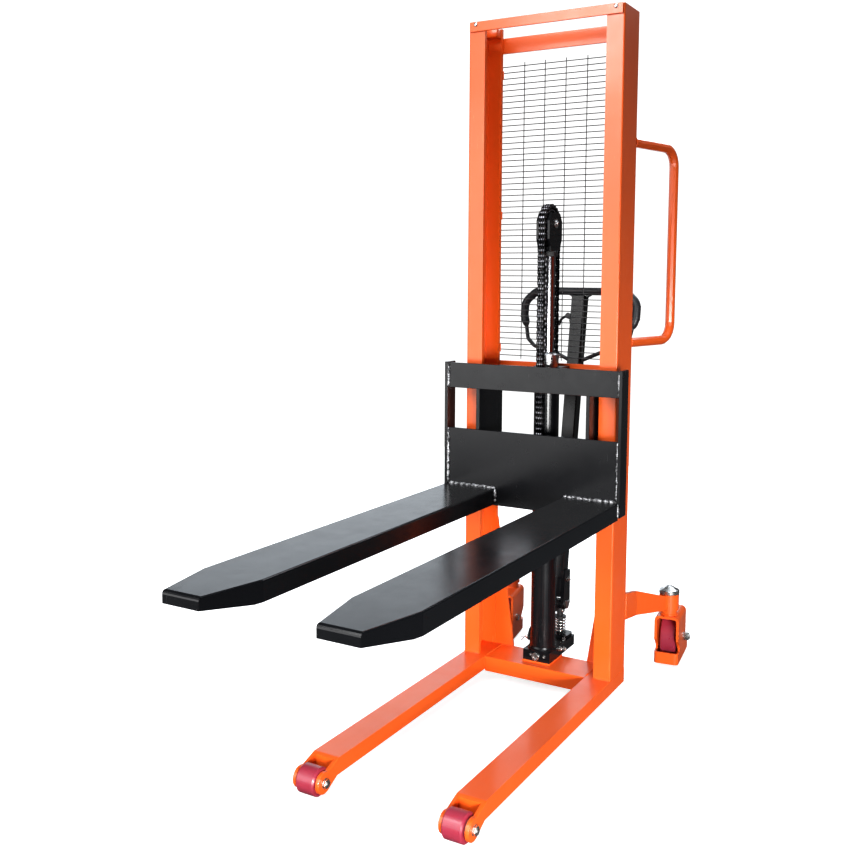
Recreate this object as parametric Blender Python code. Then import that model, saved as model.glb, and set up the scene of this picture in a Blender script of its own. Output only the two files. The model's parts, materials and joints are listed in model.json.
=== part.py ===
"""A manual hydraulic hand stacker: mast, straddle legs, lifting carriage with forks, hand pump and tiller.

Units are metres and +Z is up. Pieces are modelled in the mast's frame: X = 0 is the middle plane, Y = 0 is the
mast's front face, Z = 0 is the floor, and the forks point to -Y. The last step moves the whole machine along Y,
so that its outer box is centred on the origin.
"""

import math

import bmesh
import bpy
from mathutils import Vector

GAP = 0.0003  # clearance that touching pieces keep
RUN = 0.0005  # radial clearance of a turning fit
SIDES = {"left": -1, "right": 1}

# Mast: two channels that open inwards
MAST_HALF = 0.240
MAST_DEPTH = 0.122
MAST_TOP = 1.986
FLANGE_EDGE = 0.188  # the flanges' inner edge, from the middle plane
FLANGE_THICK = 0.012
WEB_THICK = 0.008
TIE_HALF = 0.205

# Base: legs, crossmember and load rollers
LEG_INNER = 0.163
LEG_LOW = 0.032
LEG_TOP = 0.074
LEG_WALL = 0.008
LEG_END = 0.781  # where the leg's channel ends, ahead of the mast
AXLE_REACH = 0.841
LOAD_ROLLER_R = 0.035
NOSE_R = 0.027
ROLLER_MIDDLE = 0.200
LOAD_ROLLER_WIDE = 0.052

# Casters
KINGPIN_X = 0.282
KINGPIN_Y = 0.418
KINGPIN_R = 0.016
HUB_LOW = 0.180
HUB_TOP = 0.231
HUB_R = 0.031
CASTER_YAW = {"left": math.radians(-170), "right": math.radians(7)}  # the left one trails forwards
CASTER_HALF = 0.0385
CASTER_TOP = 0.163
CASTER_AXLE = (0.060, 0.075)  # trail behind the kingpin, and height
GUARD_TOP = 0.045
GUARD_FRONT = -0.038
GUARD_BACK = 0.159
WHEEL_R = 0.075

# Lifting gear
CYLINDER_Y = 0.060
CYLINDER_R = 0.0375
CYLINDER_FOOT = 0.1123
CYLINDER_TOP = 0.974
ROD_R = 0.020
ROD_TOP = 1.317
WHEEL_Z = 1.397
PITCH_R = 0.05053  # the chain wheel has a pitch circle of 20 links
STRAND_HALF = 0.0075
CHAIN_HALF = 0.010
PULLEY_PIN_R = 0.010
CLEVIS_INNER = 0.013
CLEVIS_OUTER = 0.021
FRONT_ANCHOR_TOP = 0.7458
REAR_ANCHOR_TOP = 1.0157

# Pump and tiller
PUMP_LOW = 0.080
PUMP_TOP = 0.112
SPRING_SEAT = 0.1225  # the top of the pump's body
PLUNGER_CAP = 0.168
PLUNGER_Y = 0.192
PLUNGER_R = 0.010
PLUNGER_TOP = 0.213
PIVOT_Y = 0.165
PIVOT_Z = 0.222
PIVOT_R = 0.0095
TILLER_LEAN = math.radians(8.66)
BAR_HALF = 0.0215
BAR_DEPTH_HALF = 0.0205
BAR_TOP = 0.9715  # along the bar, from its pivot
GRIP_R = 0.013
STAY_R = 0.0065

# Carriage and forks
PLATE_FACE = -0.059
PLATE_THICK = 0.008
CARRIAGE_HALF = 0.270
SIDE_PLATE_THICK = 0.010
SIDE_PLATE_FRONT = -0.065
ROLLER_BAR_X = 0.169
ROLLER_BAR_THICK = 0.011
CARRIAGE_ROLLER_R = 0.0485
CARRIAGE_ROLLER_Y = 0.061
CARRIAGE_ROLLERS = {"upper": 0.915, "lower": 0.660}
FORK_TOP = 0.616
FORK_LOW = 0.568
FORK_INNER = 0.110
FORK_OUTER = 0.275
FORK_TIP = -1.280
FORK_TAPER = -1.123
FORK_WALL = 0.008

# Mesh guard: flat grille of thin wires behind the mast
WIRE = 0.003
GUARD_Y = 0.133
GUARD_HALF = 0.205
GUARD_ROWS = 51
GUARD_LOW = 0.9966
GUARD_HIGH = 1.8777
GUARD_OVERRUN = 0.009
GUARD_COLUMNS = [0.013 + 0.0675 * i for i in range(-2, 3)]

FINISHES = {
    "orange_paint": ((0.80, 0.12, 0.015), 0.34, 0.0),
    "black_paint": ((0.006, 0.006, 0.007), 0.26, 0.0),
    "fork_paint": ((0.006, 0.006, 0.007), 0.22, 0.0),
    "polyurethane": ((0.30, 0.025, 0.045), 0.34, 0.0),
    "zinc_steel": ((0.54, 0.54, 0.54), 0.28, 1.0),
    "chrome": ((0.32, 0.31, 0.33), 0.15, 1.0),
    "chain_steel": ((0.045, 0.045, 0.047), 0.38, 1.0),
    "mesh_wire": ((0.022, 0.022, 0.024), 0.42, 0.0),
    "grip_rubber": ((0.015, 0.017, 0.020), 0.46, 0.0),
    "spring_steel": ((0.20, 0.20, 0.21), 0.32, 1.0),
}


# ---------------------------------------------------------------- shapes

def finish(name):
    """The Principled material of one finish, made once."""
    if name in bpy.data.materials:
        return bpy.data.materials[name]
    colour, roughness, metallic = FINISHES[name]
    made = bpy.data.materials.new(name)
    made.use_nodes = True
    shader = made.node_tree.nodes["Principled BSDF"]
    shader.inputs["Base Color"].default_value = (*colour, 1.0)
    shader.inputs["Roughness"].default_value = roughness
    shader.inputs["Metallic"].default_value = metallic
    return made


def solid(name, bm, finish_name, place=(0, 0, 0)):
    """An object from a closed bmesh, shaded smooth between its sharp edges."""
    bmesh.ops.recalc_face_normals(bm, faces=bm.faces)
    mesh = bpy.data.meshes.new(name)
    bm.to_mesh(mesh)
    bm.free()
    mesh.shade_smooth()
    mesh.set_sharp_from_angle(angle=math.radians(35))
    mesh.materials.append(finish(finish_name))
    made = bpy.data.objects.new(name, mesh)
    made.location = place
    bpy.context.collection.objects.link(made)
    return made


def on_axis(axis, first, second, along):
    """A point from its place along an axis and its other two coordinates, in X, Y, Z order."""
    place = [first, second]
    place.insert("XYZ".index(axis), along)
    return Vector(place)


def bevel_edges(bm, width, segments, chosen):
    edges = [edge for edge in bm.edges if chosen(edge)]
    bmesh.ops.bevel(bm, geom=edges, offset=width, segments=segments, affect="EDGES", profile=0.5)


def prism(name, outline, axis, ends, finish_name, soft=0.0, chosen=lambda edge: True, steps=1):
    """An outline pushed along an axis, with its chosen edges rounded by the width soft."""
    start, end = ends
    bm = bmesh.new()
    near = [bm.verts.new(on_axis(axis, u, v, start)) for u, v in outline]
    far = [bm.verts.new(on_axis(axis, u, v, end)) for u, v in outline]
    bm.faces.new(near)
    bm.faces.new(far)
    for i in range(len(outline)):
        j = (i + 1) % len(outline)
        bm.faces.new((near[i], near[j], far[j], far[i]))
    bmesh.ops.recalc_face_normals(bm, faces=bm.faces)
    if soft:
        bevel_edges(bm, soft, steps, chosen)
    return solid(name, bm, finish_name)


def box(name, low, high, finish_name, soft=0.0):
    outline = [(low[0], low[1]), (high[0], low[1]), (high[0], high[1]), (low[0], high[1])]
    return prism(name, outline, "Z", (low[2], high[2]), finish_name, soft)


def lathe(name, profile, axis, place, finish_name, segments=32):
    """A turned solid about an axis through place. The profile's points are (along, radius); it is a closed ring
    where it never meets the axis."""
    bm = bmesh.new()
    rings = []
    for along, radius in profile:
        count = segments if radius else 1
        turns = [math.tau * i / count for i in range(count)]
        rings.append([
            bm.verts.new(on_axis(axis, radius * math.cos(turn), radius * math.sin(turn), along))
            for turn in turns
        ])
    if len(rings[0]) > 1:
        rings.append(rings[0])
    for ring, following in zip(rings, rings[1:]):
        for i in range(segments):
            j = (i + 1) % segments
            if len(ring) == 1:
                bm.faces.new((ring[0], following[i], following[j]))
            elif len(following) == 1:
                bm.faces.new((ring[i], ring[j], following[0]))
            else:
                bm.faces.new((ring[i], ring[j], following[j], following[i]))
    return solid(name, bm, finish_name, place)


def rod(name, ends, radius, axis, place, finish_name, segments=32):
    start, end = ends
    return lathe(name, [(start, 0), (start, radius), (end, radius), (end, 0)], axis, place, finish_name, segments)


def tube(name, path, radius, finish_name, place=(0, 0, 0), resolution=3):
    """A round bar along a path, from a bevelled curve with filled caps."""
    curve = bpy.data.curves.new(name, "CURVE")
    curve.dimensions = "3D"
    curve.bevel_depth = radius
    curve.bevel_resolution = resolution
    curve.use_fill_caps = True
    spline = curve.splines.new("POLY")
    spline.points.add(len(path) - 1)
    for point, spot in zip(spline.points, path):
        point.co = (*spot, 1.0)
    guide = bpy.data.objects.new(name + "_path", curve)
    mesh = bpy.data.meshes.new_from_object(guide)
    bpy.data.objects.remove(guide)
    bm = bmesh.new()
    bm.from_mesh(mesh)
    bmesh.ops.remove_doubles(bm, verts=bm.verts, dist=radius * 0.01)
    return solid(name, bm, finish_name, place)


def rounded(corners, radius, steps=4, closed=True):
    """Corners of an outline or a path, each replaced by a short arc."""
    points = [Vector(corner) for corner in corners]
    made = []
    for i, corner in enumerate(points):
        if not closed and i in (0, len(points) - 1):
            made.append(corner)
            continue
        before = (points[i - 1] - corner).normalized()
        after = (points[(i + 1) % len(points)] - corner).normalized()
        half = before.angle(after) / 2
        reach = radius / math.tan(half)
        centre = corner + (before + after).normalized() * radius / math.sin(half)
        start = corner + before * reach - centre
        end = corner + after * reach - centre
        sweep = start.angle(end)
        for step in range(steps + 1):
            share = step / steps
            made.append(centre + (
                start * math.sin((1 - share) * sweep) + end * math.sin(share * sweep)
            ) / math.sin(sweep))
    return made


def arc(centre, radius, start, end, steps):
    """Points of an arc in an outline's plane, with its angles in degrees."""
    angles = [math.radians(start + (end - start) * i / steps) for i in range(steps + 1)]
    return [(centre[0] + radius * math.cos(a), centre[1] + radius * math.sin(a)) for a in angles]


def combine(target, tool, operation):
    """Joins, cuts or intersects by a Boolean, and keeps the tool as a hidden guide."""
    modifier = target.modifiers.new(operation.lower(), "BOOLEAN")
    modifier.operation = operation
    modifier.object = tool
    tool.hide_render = True
    tool.display_type = "WIRE"


def tools_of(piece):
    return [modifier.object for modifier in piece.modifiers if modifier.type == "BOOLEAN"]


def pivot(name, place, turn=(0, 0, 0)):
    """An empty on a joint's axis, which carries the pieces that move with it."""
    made = bpy.data.objects.new(name, None)
    made.location = place
    made.rotation_euler = turn
    bpy.context.collection.objects.link(made)
    return made


def carry(holder, pieces, local=False):
    """Parents pieces and their Boolean guides. Local pieces are modelled about the holder, others about the mast."""
    for piece in pieces:
        for member in [piece, *tools_of(piece)]:
            member.parent = holder
            if not local:
                member.location -= holder.location


def mirrored(outline, side):
    return [(side * x, y) for x, y in outline]


def span(side, inner, outer):
    """The two ends of a stretch of X on one side, lowest first."""
    return sorted((side * inner, side * outer))


# ---------------------------------------------------------------- mast and base

def mast_channel(label, side):
    flange = FLANGE_THICK
    web = MAST_HALF - WEB_THICK
    outline = [
        (FLANGE_EDGE, 0), (MAST_HALF, 0), (MAST_HALF, MAST_DEPTH), (FLANGE_EDGE, MAST_DEPTH),
        (FLANGE_EDGE, MAST_DEPTH - flange), (web, MAST_DEPTH - flange), (web, flange), (FLANGE_EDGE, flange),
    ]

    def is_outer(edge):
        ends = [vert.co for vert in edge.verts]
        return all(abs(abs(co.x) - MAST_HALF) < GAP for co in ends) and abs(ends[0].z - ends[1].z) > WEB_THICK

    prism("mast_channel_" + label, mirrored(outline, side), "Z", (LEG_TOP + GAP, MAST_TOP), "orange_paint",
          soft=0.004, chosen=is_outer, steps=2)


def ties():
    front_half, front_low, front_thick = 0.236, 1.958, 0.006
    box("top_tie_front", (-front_half, -front_thick - GAP, front_low), (front_half, -GAP, MAST_TOP),
        "orange_paint", soft=0.001)
    rear = MAST_DEPTH + GAP
    box("top_tie_rear", (-TIE_HALF, rear, 1.914), (TIE_HALF, rear + 0.008, 1.960), "orange_paint", soft=0.001)
    box("middle_crossmember", (-TIE_HALF, rear, 0.930), (TIE_HALF, 0.134, 0.981), "orange_paint", soft=0.0015)


def base_crossmember():
    front, back, low = -0.008, 0.116, 0.028
    wall = LEG_WALL
    half = LEG_INNER - GAP
    outline = [
        (front, low), (front + wall, low), (front + wall, LEG_TOP - wall), (back - wall, LEG_TOP - wall),
        (back - wall, low), (back, low), (back, LEG_TOP), (front, LEG_TOP),
    ]
    prism("base_crossmember", outline, "X", (-half, half), "orange_paint")


def gusset(label, side):
    outer = FLANGE_EDGE - GAP
    outline = [(0.124, LEG_TOP + GAP), (outer, LEG_TOP + GAP), (outer, 0.486), (outer - 0.003, 0.486)]
    prism("gusset_" + label, mirrored(outline, side), "Y", (0.112, 0.120), "orange_paint")


def leg(label, side):
    slot_wall = -AXLE_REACH + LOAD_ROLLER_R + 0.016
    nose = arc((-AXLE_REACH, LOAD_ROLLER_R), NOSE_R, 62, 292, 12)
    outline = [(MAST_DEPTH, LEG_LOW), (MAST_DEPTH, LEG_TOP), (-LEG_END, LEG_TOP), *nose, (slot_wall, LEG_LOW)]
    made = prism("leg_" + label, outline, "X", span(side, LEG_INNER, MAST_HALF), "orange_paint", soft=0.0015)
    cheek = 0.0095
    inner, outer = span(side, LEG_INNER + cheek, MAST_HALF - cheek)
    slot = box(made.name + "_slot", (inner, -1.0, -0.1), (outer, slot_wall, 0.2), "orange_paint")
    combine(made, slot, "DIFFERENCE")
    inner, outer = span(side, LEG_INNER + LEG_WALL, MAST_HALF - LEG_WALL)
    below = box(made.name + "_hollow", (inner, slot_wall + LEG_WALL, -0.1),
                (outer, MAST_DEPTH - LEG_WALL, LEG_TOP - LEG_WALL), "orange_paint")
    combine(made, below, "DIFFERENCE")
    bore = rod(made.name + "_bore", (-0.1, 0.1), 0.0105, "X",
               (side * ROLLER_MIDDLE, -AXLE_REACH, LOAD_ROLLER_R), "orange_paint", segments=24)
    combine(made, bore, "DIFFERENCE")


def load_roller(label, side):
    place = (side * ROLLER_MIDDLE, -AXLE_REACH, LOAD_ROLLER_R)
    half = LOAD_ROLLER_WIDE / 2
    bore, edge = 0.0107, 0.0035
    profile = [
        (-half, bore), (-half, LOAD_ROLLER_R - edge), (-half + edge, LOAD_ROLLER_R),
        (half - edge, LOAD_ROLLER_R), (half, LOAD_ROLLER_R - edge), (half, bore),
    ]
    lathe("load_roller_" + label, profile, "X", place, "polyurethane", segments=48)
    shaft, head, nut_low, nut_high = 0.0100, 0.013, 0.0404, 0.0495
    inner_head = -(ROLLER_MIDDLE - LEG_INNER) - GAP
    profile = [
        (inner_head - 0.009, 0), (inner_head - 0.009, head), (inner_head, head), (inner_head, shaft),
        (nut_low, shaft), (nut_low, head), (nut_high, head), (nut_high, shaft - 0.001),
        (nut_high + 0.003, shaft - 0.001), (nut_high + 0.003, 0),
    ]
    axle = [(side * along, radius) for along, radius in profile]
    lathe("roller_axle_" + label, axle, "X", place, "zinc_steel", segments=24)


def strip(path, half):
    """The outline of a flat bar of one thickness, bent along a path."""
    points = [Vector(point) for point in path]
    left, right = [], []
    for i, point in enumerate(points):
        before = (point - points[i - 1]).normalized() if i else None
        after = (points[i + 1] - point).normalized() if i + 1 < len(points) else None
        along = ((before or after) + (after or before)).normalized()
        across = Vector((-along.y, along.x)) * half / along.dot(after or before)
        left.append(point + across)
        right.append(point - across)
    return left + right[::-1]


def caster_arm(label, side):
    half, bend, end = 0.006, 0.225, 0.400
    flat = MAST_HALF - half
    back = MAST_DEPTH + GAP
    plan = strip([(flat, back), (flat, bend), (KINGPIN_X, end)], half)
    made = prism("caster_arm_" + label, mirrored(plan, side), "Z", (0.1, 0.4), "orange_paint")
    # The arm is deep at the mast and shallow at the swivel hub.
    outline = [(back, 0.223), (back, 0.303), (bend, 0.283), (end, 0.2237), (end, HUB_LOW + GAP)]
    shape = prism(made.name + "_depth", outline, "X", span(side, 0.2, 0.4), "orange_paint")
    combine(made, shape, "INTERSECT")
    hub = rod(made.name + "_hub", (HUB_LOW, HUB_TOP), HUB_R, "Z", (side * KINGPIN_X, KINGPIN_Y, 0), "orange_paint")
    combine(made, hub, "UNION")
    bore = rod(made.name + "_bore", (0, 1), KINGPIN_R + RUN, "Z", (side * KINGPIN_X, KINGPIN_Y, 0), "orange_paint")
    combine(made, bore, "DIFFERENCE")


def caster(label, side):
    """A swivel caster, modelled about its kingpin and trailing to +Y."""
    trail, height = CASTER_AXLE
    wall, edge = 0.008, 0.015
    half = CASTER_HALF
    low = GUARD_TOP - 0.005
    top = CASTER_TOP
    shoulder = arc((half - edge, top - edge), edge, 0, 90, 4)
    inside = arc((half - edge, top - edge), edge - wall, 0, 90, 4)
    outer = [(half, low), *shoulder, *[(-x, z) for x, z in reversed(shoulder)], (-half, low)]
    inner = [(half - wall, low), *inside, *[(-x, z) for x, z in reversed(inside)], (wall - half, low)]
    front = GUARD_FRONT + 0.003
    bracket = prism("caster_fork_" + label, outer + inner[::-1], "Y", (front, 0.105), "orange_paint")
    # Below the knee the cheeks draw back from the guard's front wall.
    knee, recess = 0.088, -0.004
    corners = [(front - wall, low - wall), (recess, low - wall), (recess, 0.058), (front - 0.002, knee),
               (front - wall, knee)]
    notch = prism(bracket.name + "_knee", rounded(corners, 0.006, 4), "X", (-0.1, 0.1), "orange_paint")
    combine(bracket, notch, "DIFFERENCE")
    guard_wall = 0.006
    outline = [(-half, GUARD_FRONT), (half, GUARD_FRONT), (half, GUARD_BACK), (-half, GUARD_BACK)]
    ring = prism(bracket.name + "_guard", rounded(outline, 0.012, 3), "Z", (0.008, GUARD_TOP), "orange_paint")
    half_in = half - guard_wall
    near, far = GUARD_FRONT + guard_wall, GUARD_BACK - guard_wall
    outline = [(-half_in, near), (half_in, near), (half_in, far), (-half_in, far)]
    opening = prism(bracket.name + "_opening", rounded(outline, 0.007, 3), "Z", (-0.1, CASTER_AXLE[1] - 0.02),
                    "orange_paint")
    combine(bracket, ring, "UNION")
    combine(bracket, opening, "DIFFERENCE")
    axle_bore = rod(bracket.name + "_bore", (-0.1, 0.1), 0.0085, "X", (0, trail, height), "orange_paint", 24)
    combine(bracket, axle_bore, "DIFFERENCE")

    tread, face, hub_r, hub_half, bore = 0.025, 0.022, 0.021, 0.0285, 0.0087
    round_edge = 0.004
    profile = [
        (-hub_half, bore), (-hub_half, hub_r), (-face, hub_r), (-face, WHEEL_R * 0.66),
        (-tread, WHEEL_R * 0.70), (-tread, WHEEL_R - round_edge), (round_edge - tread, WHEEL_R),
    ]
    profile += [(-along, radius) for along, radius in reversed(profile)]
    wheel = lathe("caster_wheel_" + label, profile, "X", (0, trail, height), "polyurethane", 48)

    shaft, head, nut = 0.0080, 0.012, 0.013
    seat = half + GAP
    head_end, nut_end, stud_end = -seat - 0.008, seat + 0.012, 0.060
    profile = [
        (head_end, 0), (head_end, head), (-seat, head), (-seat, shaft), (seat, shaft), (seat, nut),
        (nut_end, nut), (nut_end, shaft), (stud_end, shaft), (stud_end, 0),
    ]
    bolt = lathe("caster_axle_" + label, profile, "X", (0, trail, height), "zinc_steel", 24)

    washer, cap, apex = 0.024, 0.030, 0.257
    profile = [
        (top + GAP, 0), (top + GAP, washer), (HUB_LOW - RUN, washer), (HUB_LOW - RUN, KINGPIN_R),
        (HUB_TOP + RUN, KINGPIN_R), (HUB_TOP + RUN, cap), (0.244, cap), (0.250, 0.017), (apex, 0.006), (apex, 0),
    ]
    pin = lathe("kingpin_" + label, profile, "Z", (0, 0, 0), "zinc_steel")
    swivel = pivot("swivel_" + label, (side * KINGPIN_X, KINGPIN_Y, 0), (0, 0, CASTER_YAW[label]))
    carry(swivel, [bracket, wheel, bolt, pin], local=True)


def grab_handle():
    radius, bend = 0.014, 0.052
    high, low = 1.6265, 1.0514
    back = MAST_DEPTH + GAP
    root, knee = (0.2229, 0.110), (0.280, 0.350)
    path = rounded([(*root, high), (*knee, high), (*knee, low), (*root, low)], bend, 6, closed=False)
    made = tube("grab_handle", path, radius, "orange_paint")
    trim = box("grab_handle_trim", (0.15, 0.05, 1.0), (0.28, back, 1.7), "orange_paint")
    combine(made, trim, "DIFFERENCE")


def mesh_guard():
    """Flat grille: every cell of a grid that lies on a wire is a face, and the whole is pushed to its depth."""
    rise = (GUARD_HIGH - GUARD_LOW) / (GUARD_ROWS - 1)
    columns = [-GUARD_HALF, *GUARD_COLUMNS, GUARD_HALF]
    rows = [GUARD_LOW + rise * i for i in range(GUARD_ROWS)]
    xs = [x + offset for x in columns for offset in (-WIRE / 2, WIRE / 2)]
    zs = [z + offset for z in rows for offset in (-WIRE / 2, WIRE / 2)]
    zs = [GUARD_LOW - GUARD_OVERRUN, *zs, GUARD_HIGH + GUARD_OVERRUN]
    bm = bmesh.new()
    grid = [[bm.verts.new((x, GUARD_Y - WIRE / 2, z)) for z in zs] for x in xs]
    for i in range(len(xs) - 1):
        for j in range(len(zs) - 1):
            on_column = i % 2 == 0
            on_row = j % 2 == 1
            if on_column or on_row:
                bm.faces.new((grid[i][j], grid[i + 1][j], grid[i + 1][j + 1], grid[i][j + 1]))
    bmesh.ops.delete(bm, geom=[vert for vert in bm.verts if not vert.link_faces], context="VERTS")
    made = solid("mesh_guard", bm, "mesh_wire")
    thickness = made.modifiers.new("depth", "SOLIDIFY")
    thickness.thickness = WIRE
    thickness.offset = 0
    made.location.y = WIRE / 2


# ---------------------------------------------------------------- lifting gear

def cylinder():
    inner, floor = 0.030, 0.118
    place = (0, CYLINDER_Y, 0)
    profile = [
        (CYLINDER_FOOT, 0), (CYLINDER_FOOT, CYLINDER_R), (CYLINDER_TOP, CYLINDER_R), (CYLINDER_TOP, inner),
        (floor, inner), (floor, 0),
    ]
    lathe("cylinder_tube", profile, "Z", place, "black_paint", 40)
    low, high, radius = CYLINDER_TOP + GAP, 1.016, 0.032
    bore = ROD_R + RUN
    profile = [(low, bore), (low, radius), (high - 0.004, radius), (high, radius - 0.004), (high, bore)]
    lathe("gland_nut", profile, "Z", place, "zinc_steel", 40)
    piston_low, piston_high, piston = 0.385, 0.415, 0.029
    profile = [
        (piston_low, 0), (piston_low, piston), (piston_high, piston), (piston_high, ROD_R), (ROD_TOP, ROD_R),
        (ROD_TOP, 0),
    ]
    return lathe("ram_rod", profile, "Z", place, "chrome", 48)


def cylinder_clamp():
    half, front, low, high = 0.046, 0.062, 0.945, 0.975
    made = box("cylinder_clamp", (-half, front, low), (half, MAST_DEPTH, high), "black_paint", soft=0.001)
    strand = CYLINDER_Y + PITCH_R
    lug = box("rear_chain_lug", (-0.012, strand - STRAND_HALF, high - 0.02),
              (0.012, strand + STRAND_HALF, REAR_ANCHOR_TOP), "black_paint")
    bore = rod("clamp_bore", (0.9, 1.0), CYLINDER_R + GAP, "Z", (0, CYLINDER_Y, 0), "black_paint", 48)
    combine(made, lug, "UNION")
    combine(made, bore, "DIFFERENCE")


def ram_head():
    """The clevis on the rod's end, its chain wheel and pin, and the chain that wraps over the wheel."""
    low = ROD_TOP + GAP
    floor, top, half = 1.330, 1.428, 0.046
    inner, outer = CLEVIS_INNER, CLEVIS_OUTER
    section = [(-outer, low), (outer, low), (outer, top), (inner, top), (inner, floor), (-inner, floor),
               (-inner, top), (-outer, top)]
    clevis = prism("pulley_clevis", section, "Y", (CYLINDER_Y - half, CYLINDER_Y + half), "black_paint")
    # The cheeks are wider than the base, which passes between the two chain strands.
    base = half - 0.010
    outline = [(-base, low - GAP), (base, low - GAP), (base, floor), (half, 1.352), (half, 1.404), (0.030, top + GAP),
               (-0.030, top + GAP), (-half, 1.404), (-half, 1.352), (-base, floor)]
    outline = [(CYLINDER_Y + y, z) for y, z in outline]
    cheeks = prism("clevis_outline", outline, "X", (-0.05, 0.05), "black_paint")
    combine(clevis, cheeks, "INTERSECT")
    place = (0, CYLINDER_Y, WHEEL_Z)
    bore = rod("clevis_bore", (-0.1, 0.1), PULLEY_PIN_R + RUN, "X", place, "black_paint", 24)
    combine(clevis, bore, "DIFFERENCE")

    body, rim, hub = 0.0425, 0.0075, 0.0095
    bore_r = PULLEY_PIN_R + RUN
    profile = [(-hub, bore_r), (-hub, 0.018), (-rim, 0.020), (-rim, body)]
    profile += [(-along, radius) for along, radius in reversed(profile)]
    lathe("chain_wheel", profile, "X", place, "black_paint", 40)
    reach = 0.026
    head, groove = PULLEY_PIN_R + 0.002, 0.0045
    profile = [
        (-reach, 0), (-reach, head), (-CLEVIS_OUTER - GAP, head), (-CLEVIS_OUTER - GAP, PULLEY_PIN_R),
        (reach - groove, PULLEY_PIN_R), (reach, PULLEY_PIN_R - 0.0015), (reach, 0),
    ]
    pin = lathe("pulley_pin", profile, "X", place, "zinc_steel", 24)

    centre = (CYLINDER_Y, WHEEL_Z)
    ring = arc(centre, PITCH_R + STRAND_HALF, 0, 180, 20) + arc(centre, PITCH_R - STRAND_HALF, 180, 0, 20)
    wrap = prism("chain_wrap", ring, "X", (-CHAIN_HALF, CHAIN_HALF), "chain_steel")
    return [clevis, pin, wrap]


def chain_strands():
    top = WHEEL_Z - GAP
    for name, middle, low in (
        ("chain_front", CYLINDER_Y - PITCH_R, FRONT_ANCHOR_TOP + GAP),
        ("chain_rear", CYLINDER_Y + PITCH_R, REAR_ANCHOR_TOP + GAP),
    ):
        box(name, (-CHAIN_HALF, middle - STRAND_HALF, low), (CHAIN_HALF, middle + STRAND_HALF, top), "chain_steel")


# ---------------------------------------------------------------- pump and tiller

def pump_block():
    """The casting under the cylinder, on a pad that is welded to the base."""
    front, middle, back = 0.020, 0.110, 0.215
    left, right, narrow = -0.047, 0.040, -0.040
    outline = [(left, front), (right, front), (right, back), (narrow, back), (left, middle)]
    made = prism("pump_block", outline, "Z", (PUMP_LOW, PUMP_TOP), "black_paint")
    valve = box("valve_housing", (-0.053, 0.080, PUMP_TOP - 0.010), (narrow, 0.100, 0.138), "black_paint")
    combine(made, valve, "UNION")
    bore = rod("pump_bore", (0, 0.2), PLUNGER_R + RUN, "Z", (0, PLUNGER_Y, 0), "black_paint", 32)
    combine(made, bore, "DIFFERENCE")
    rim, rear = 0.002, 0.115
    box("pump_pad", (left - rim, front - rim, LEG_TOP + GAP), (right + rim, rear, PUMP_LOW - GAP), "orange_paint",
        soft=0.0008)


def pump():
    place = (0, PLUNGER_Y, 0)
    low, high, radius, bore = PUMP_TOP + GAP, SPRING_SEAT, 0.022, PLUNGER_R + RUN
    profile = [(low, bore), (low, radius), (high - 0.002, radius), (high, radius - 0.002), (high, bore)]
    lathe("pump_body", profile, "Z", place, "black_paint")
    wire, coil, turns, per_turn = 0.0018, 0.0168, 4.5, 16
    start, end = high + GAP + wire, PLUNGER_CAP - GAP - wire
    count = int(turns * per_turn)
    helix = [
        (coil * math.cos(math.tau * i / per_turn), coil * math.sin(math.tau * i / per_turn),
         start + (end - start) * i / count)
        for i in range(count + 1)
    ]
    tube("pump_spring", helix, wire, "spring_steel", place, resolution=1)
    cap, cap_top, foot = 0.019, PLUNGER_CAP + 0.006, 0.1085
    profile = [
        (foot, 0), (foot, PLUNGER_R), (PLUNGER_CAP, PLUNGER_R), (PLUNGER_CAP, cap), (cap_top, cap), (cap_top, PLUNGER_R),
        (PLUNGER_TOP - 0.002, PLUNGER_R), (PLUNGER_TOP, PLUNGER_R - 0.002), (PLUNGER_TOP, 0),
    ]
    lathe("pump_plunger", profile, "Z", place, "chrome")


def pump_bracket():
    """The lug on the cylinder that carries the tiller's pivot pin."""
    front = CYLINDER_Y + CYLINDER_R + GAP
    boss = 0.0135
    nose = arc((PIVOT_Y, PIVOT_Z), boss, -90, 75, 8)
    outline = [(front, PIVOT_Z - boss), *nose, (front, 0.250)]
    made = prism("pump_bracket", outline, "X", (-0.014, 0.014), "black_paint")
    bore = rod("bracket_bore", (-0.1, 0.1), PIVOT_R + GAP, "X", (0, PIVOT_Y, PIVOT_Z), "black_paint", 24)
    combine(made, bore, "DIFFERENCE")
    head, washer = 0.0125, 0.0285
    end = 0.036
    profile = [
        (-end, 0), (-end, head), (-washer, head), (-washer, PIVOT_R), (washer, PIVOT_R), (washer, head),
        (end, head), (end, 0),
    ]
    lathe("tiller_pin", profile, "X", (0, PIVOT_Y, PIVOT_Z), "zinc_steel", 24)


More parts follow.
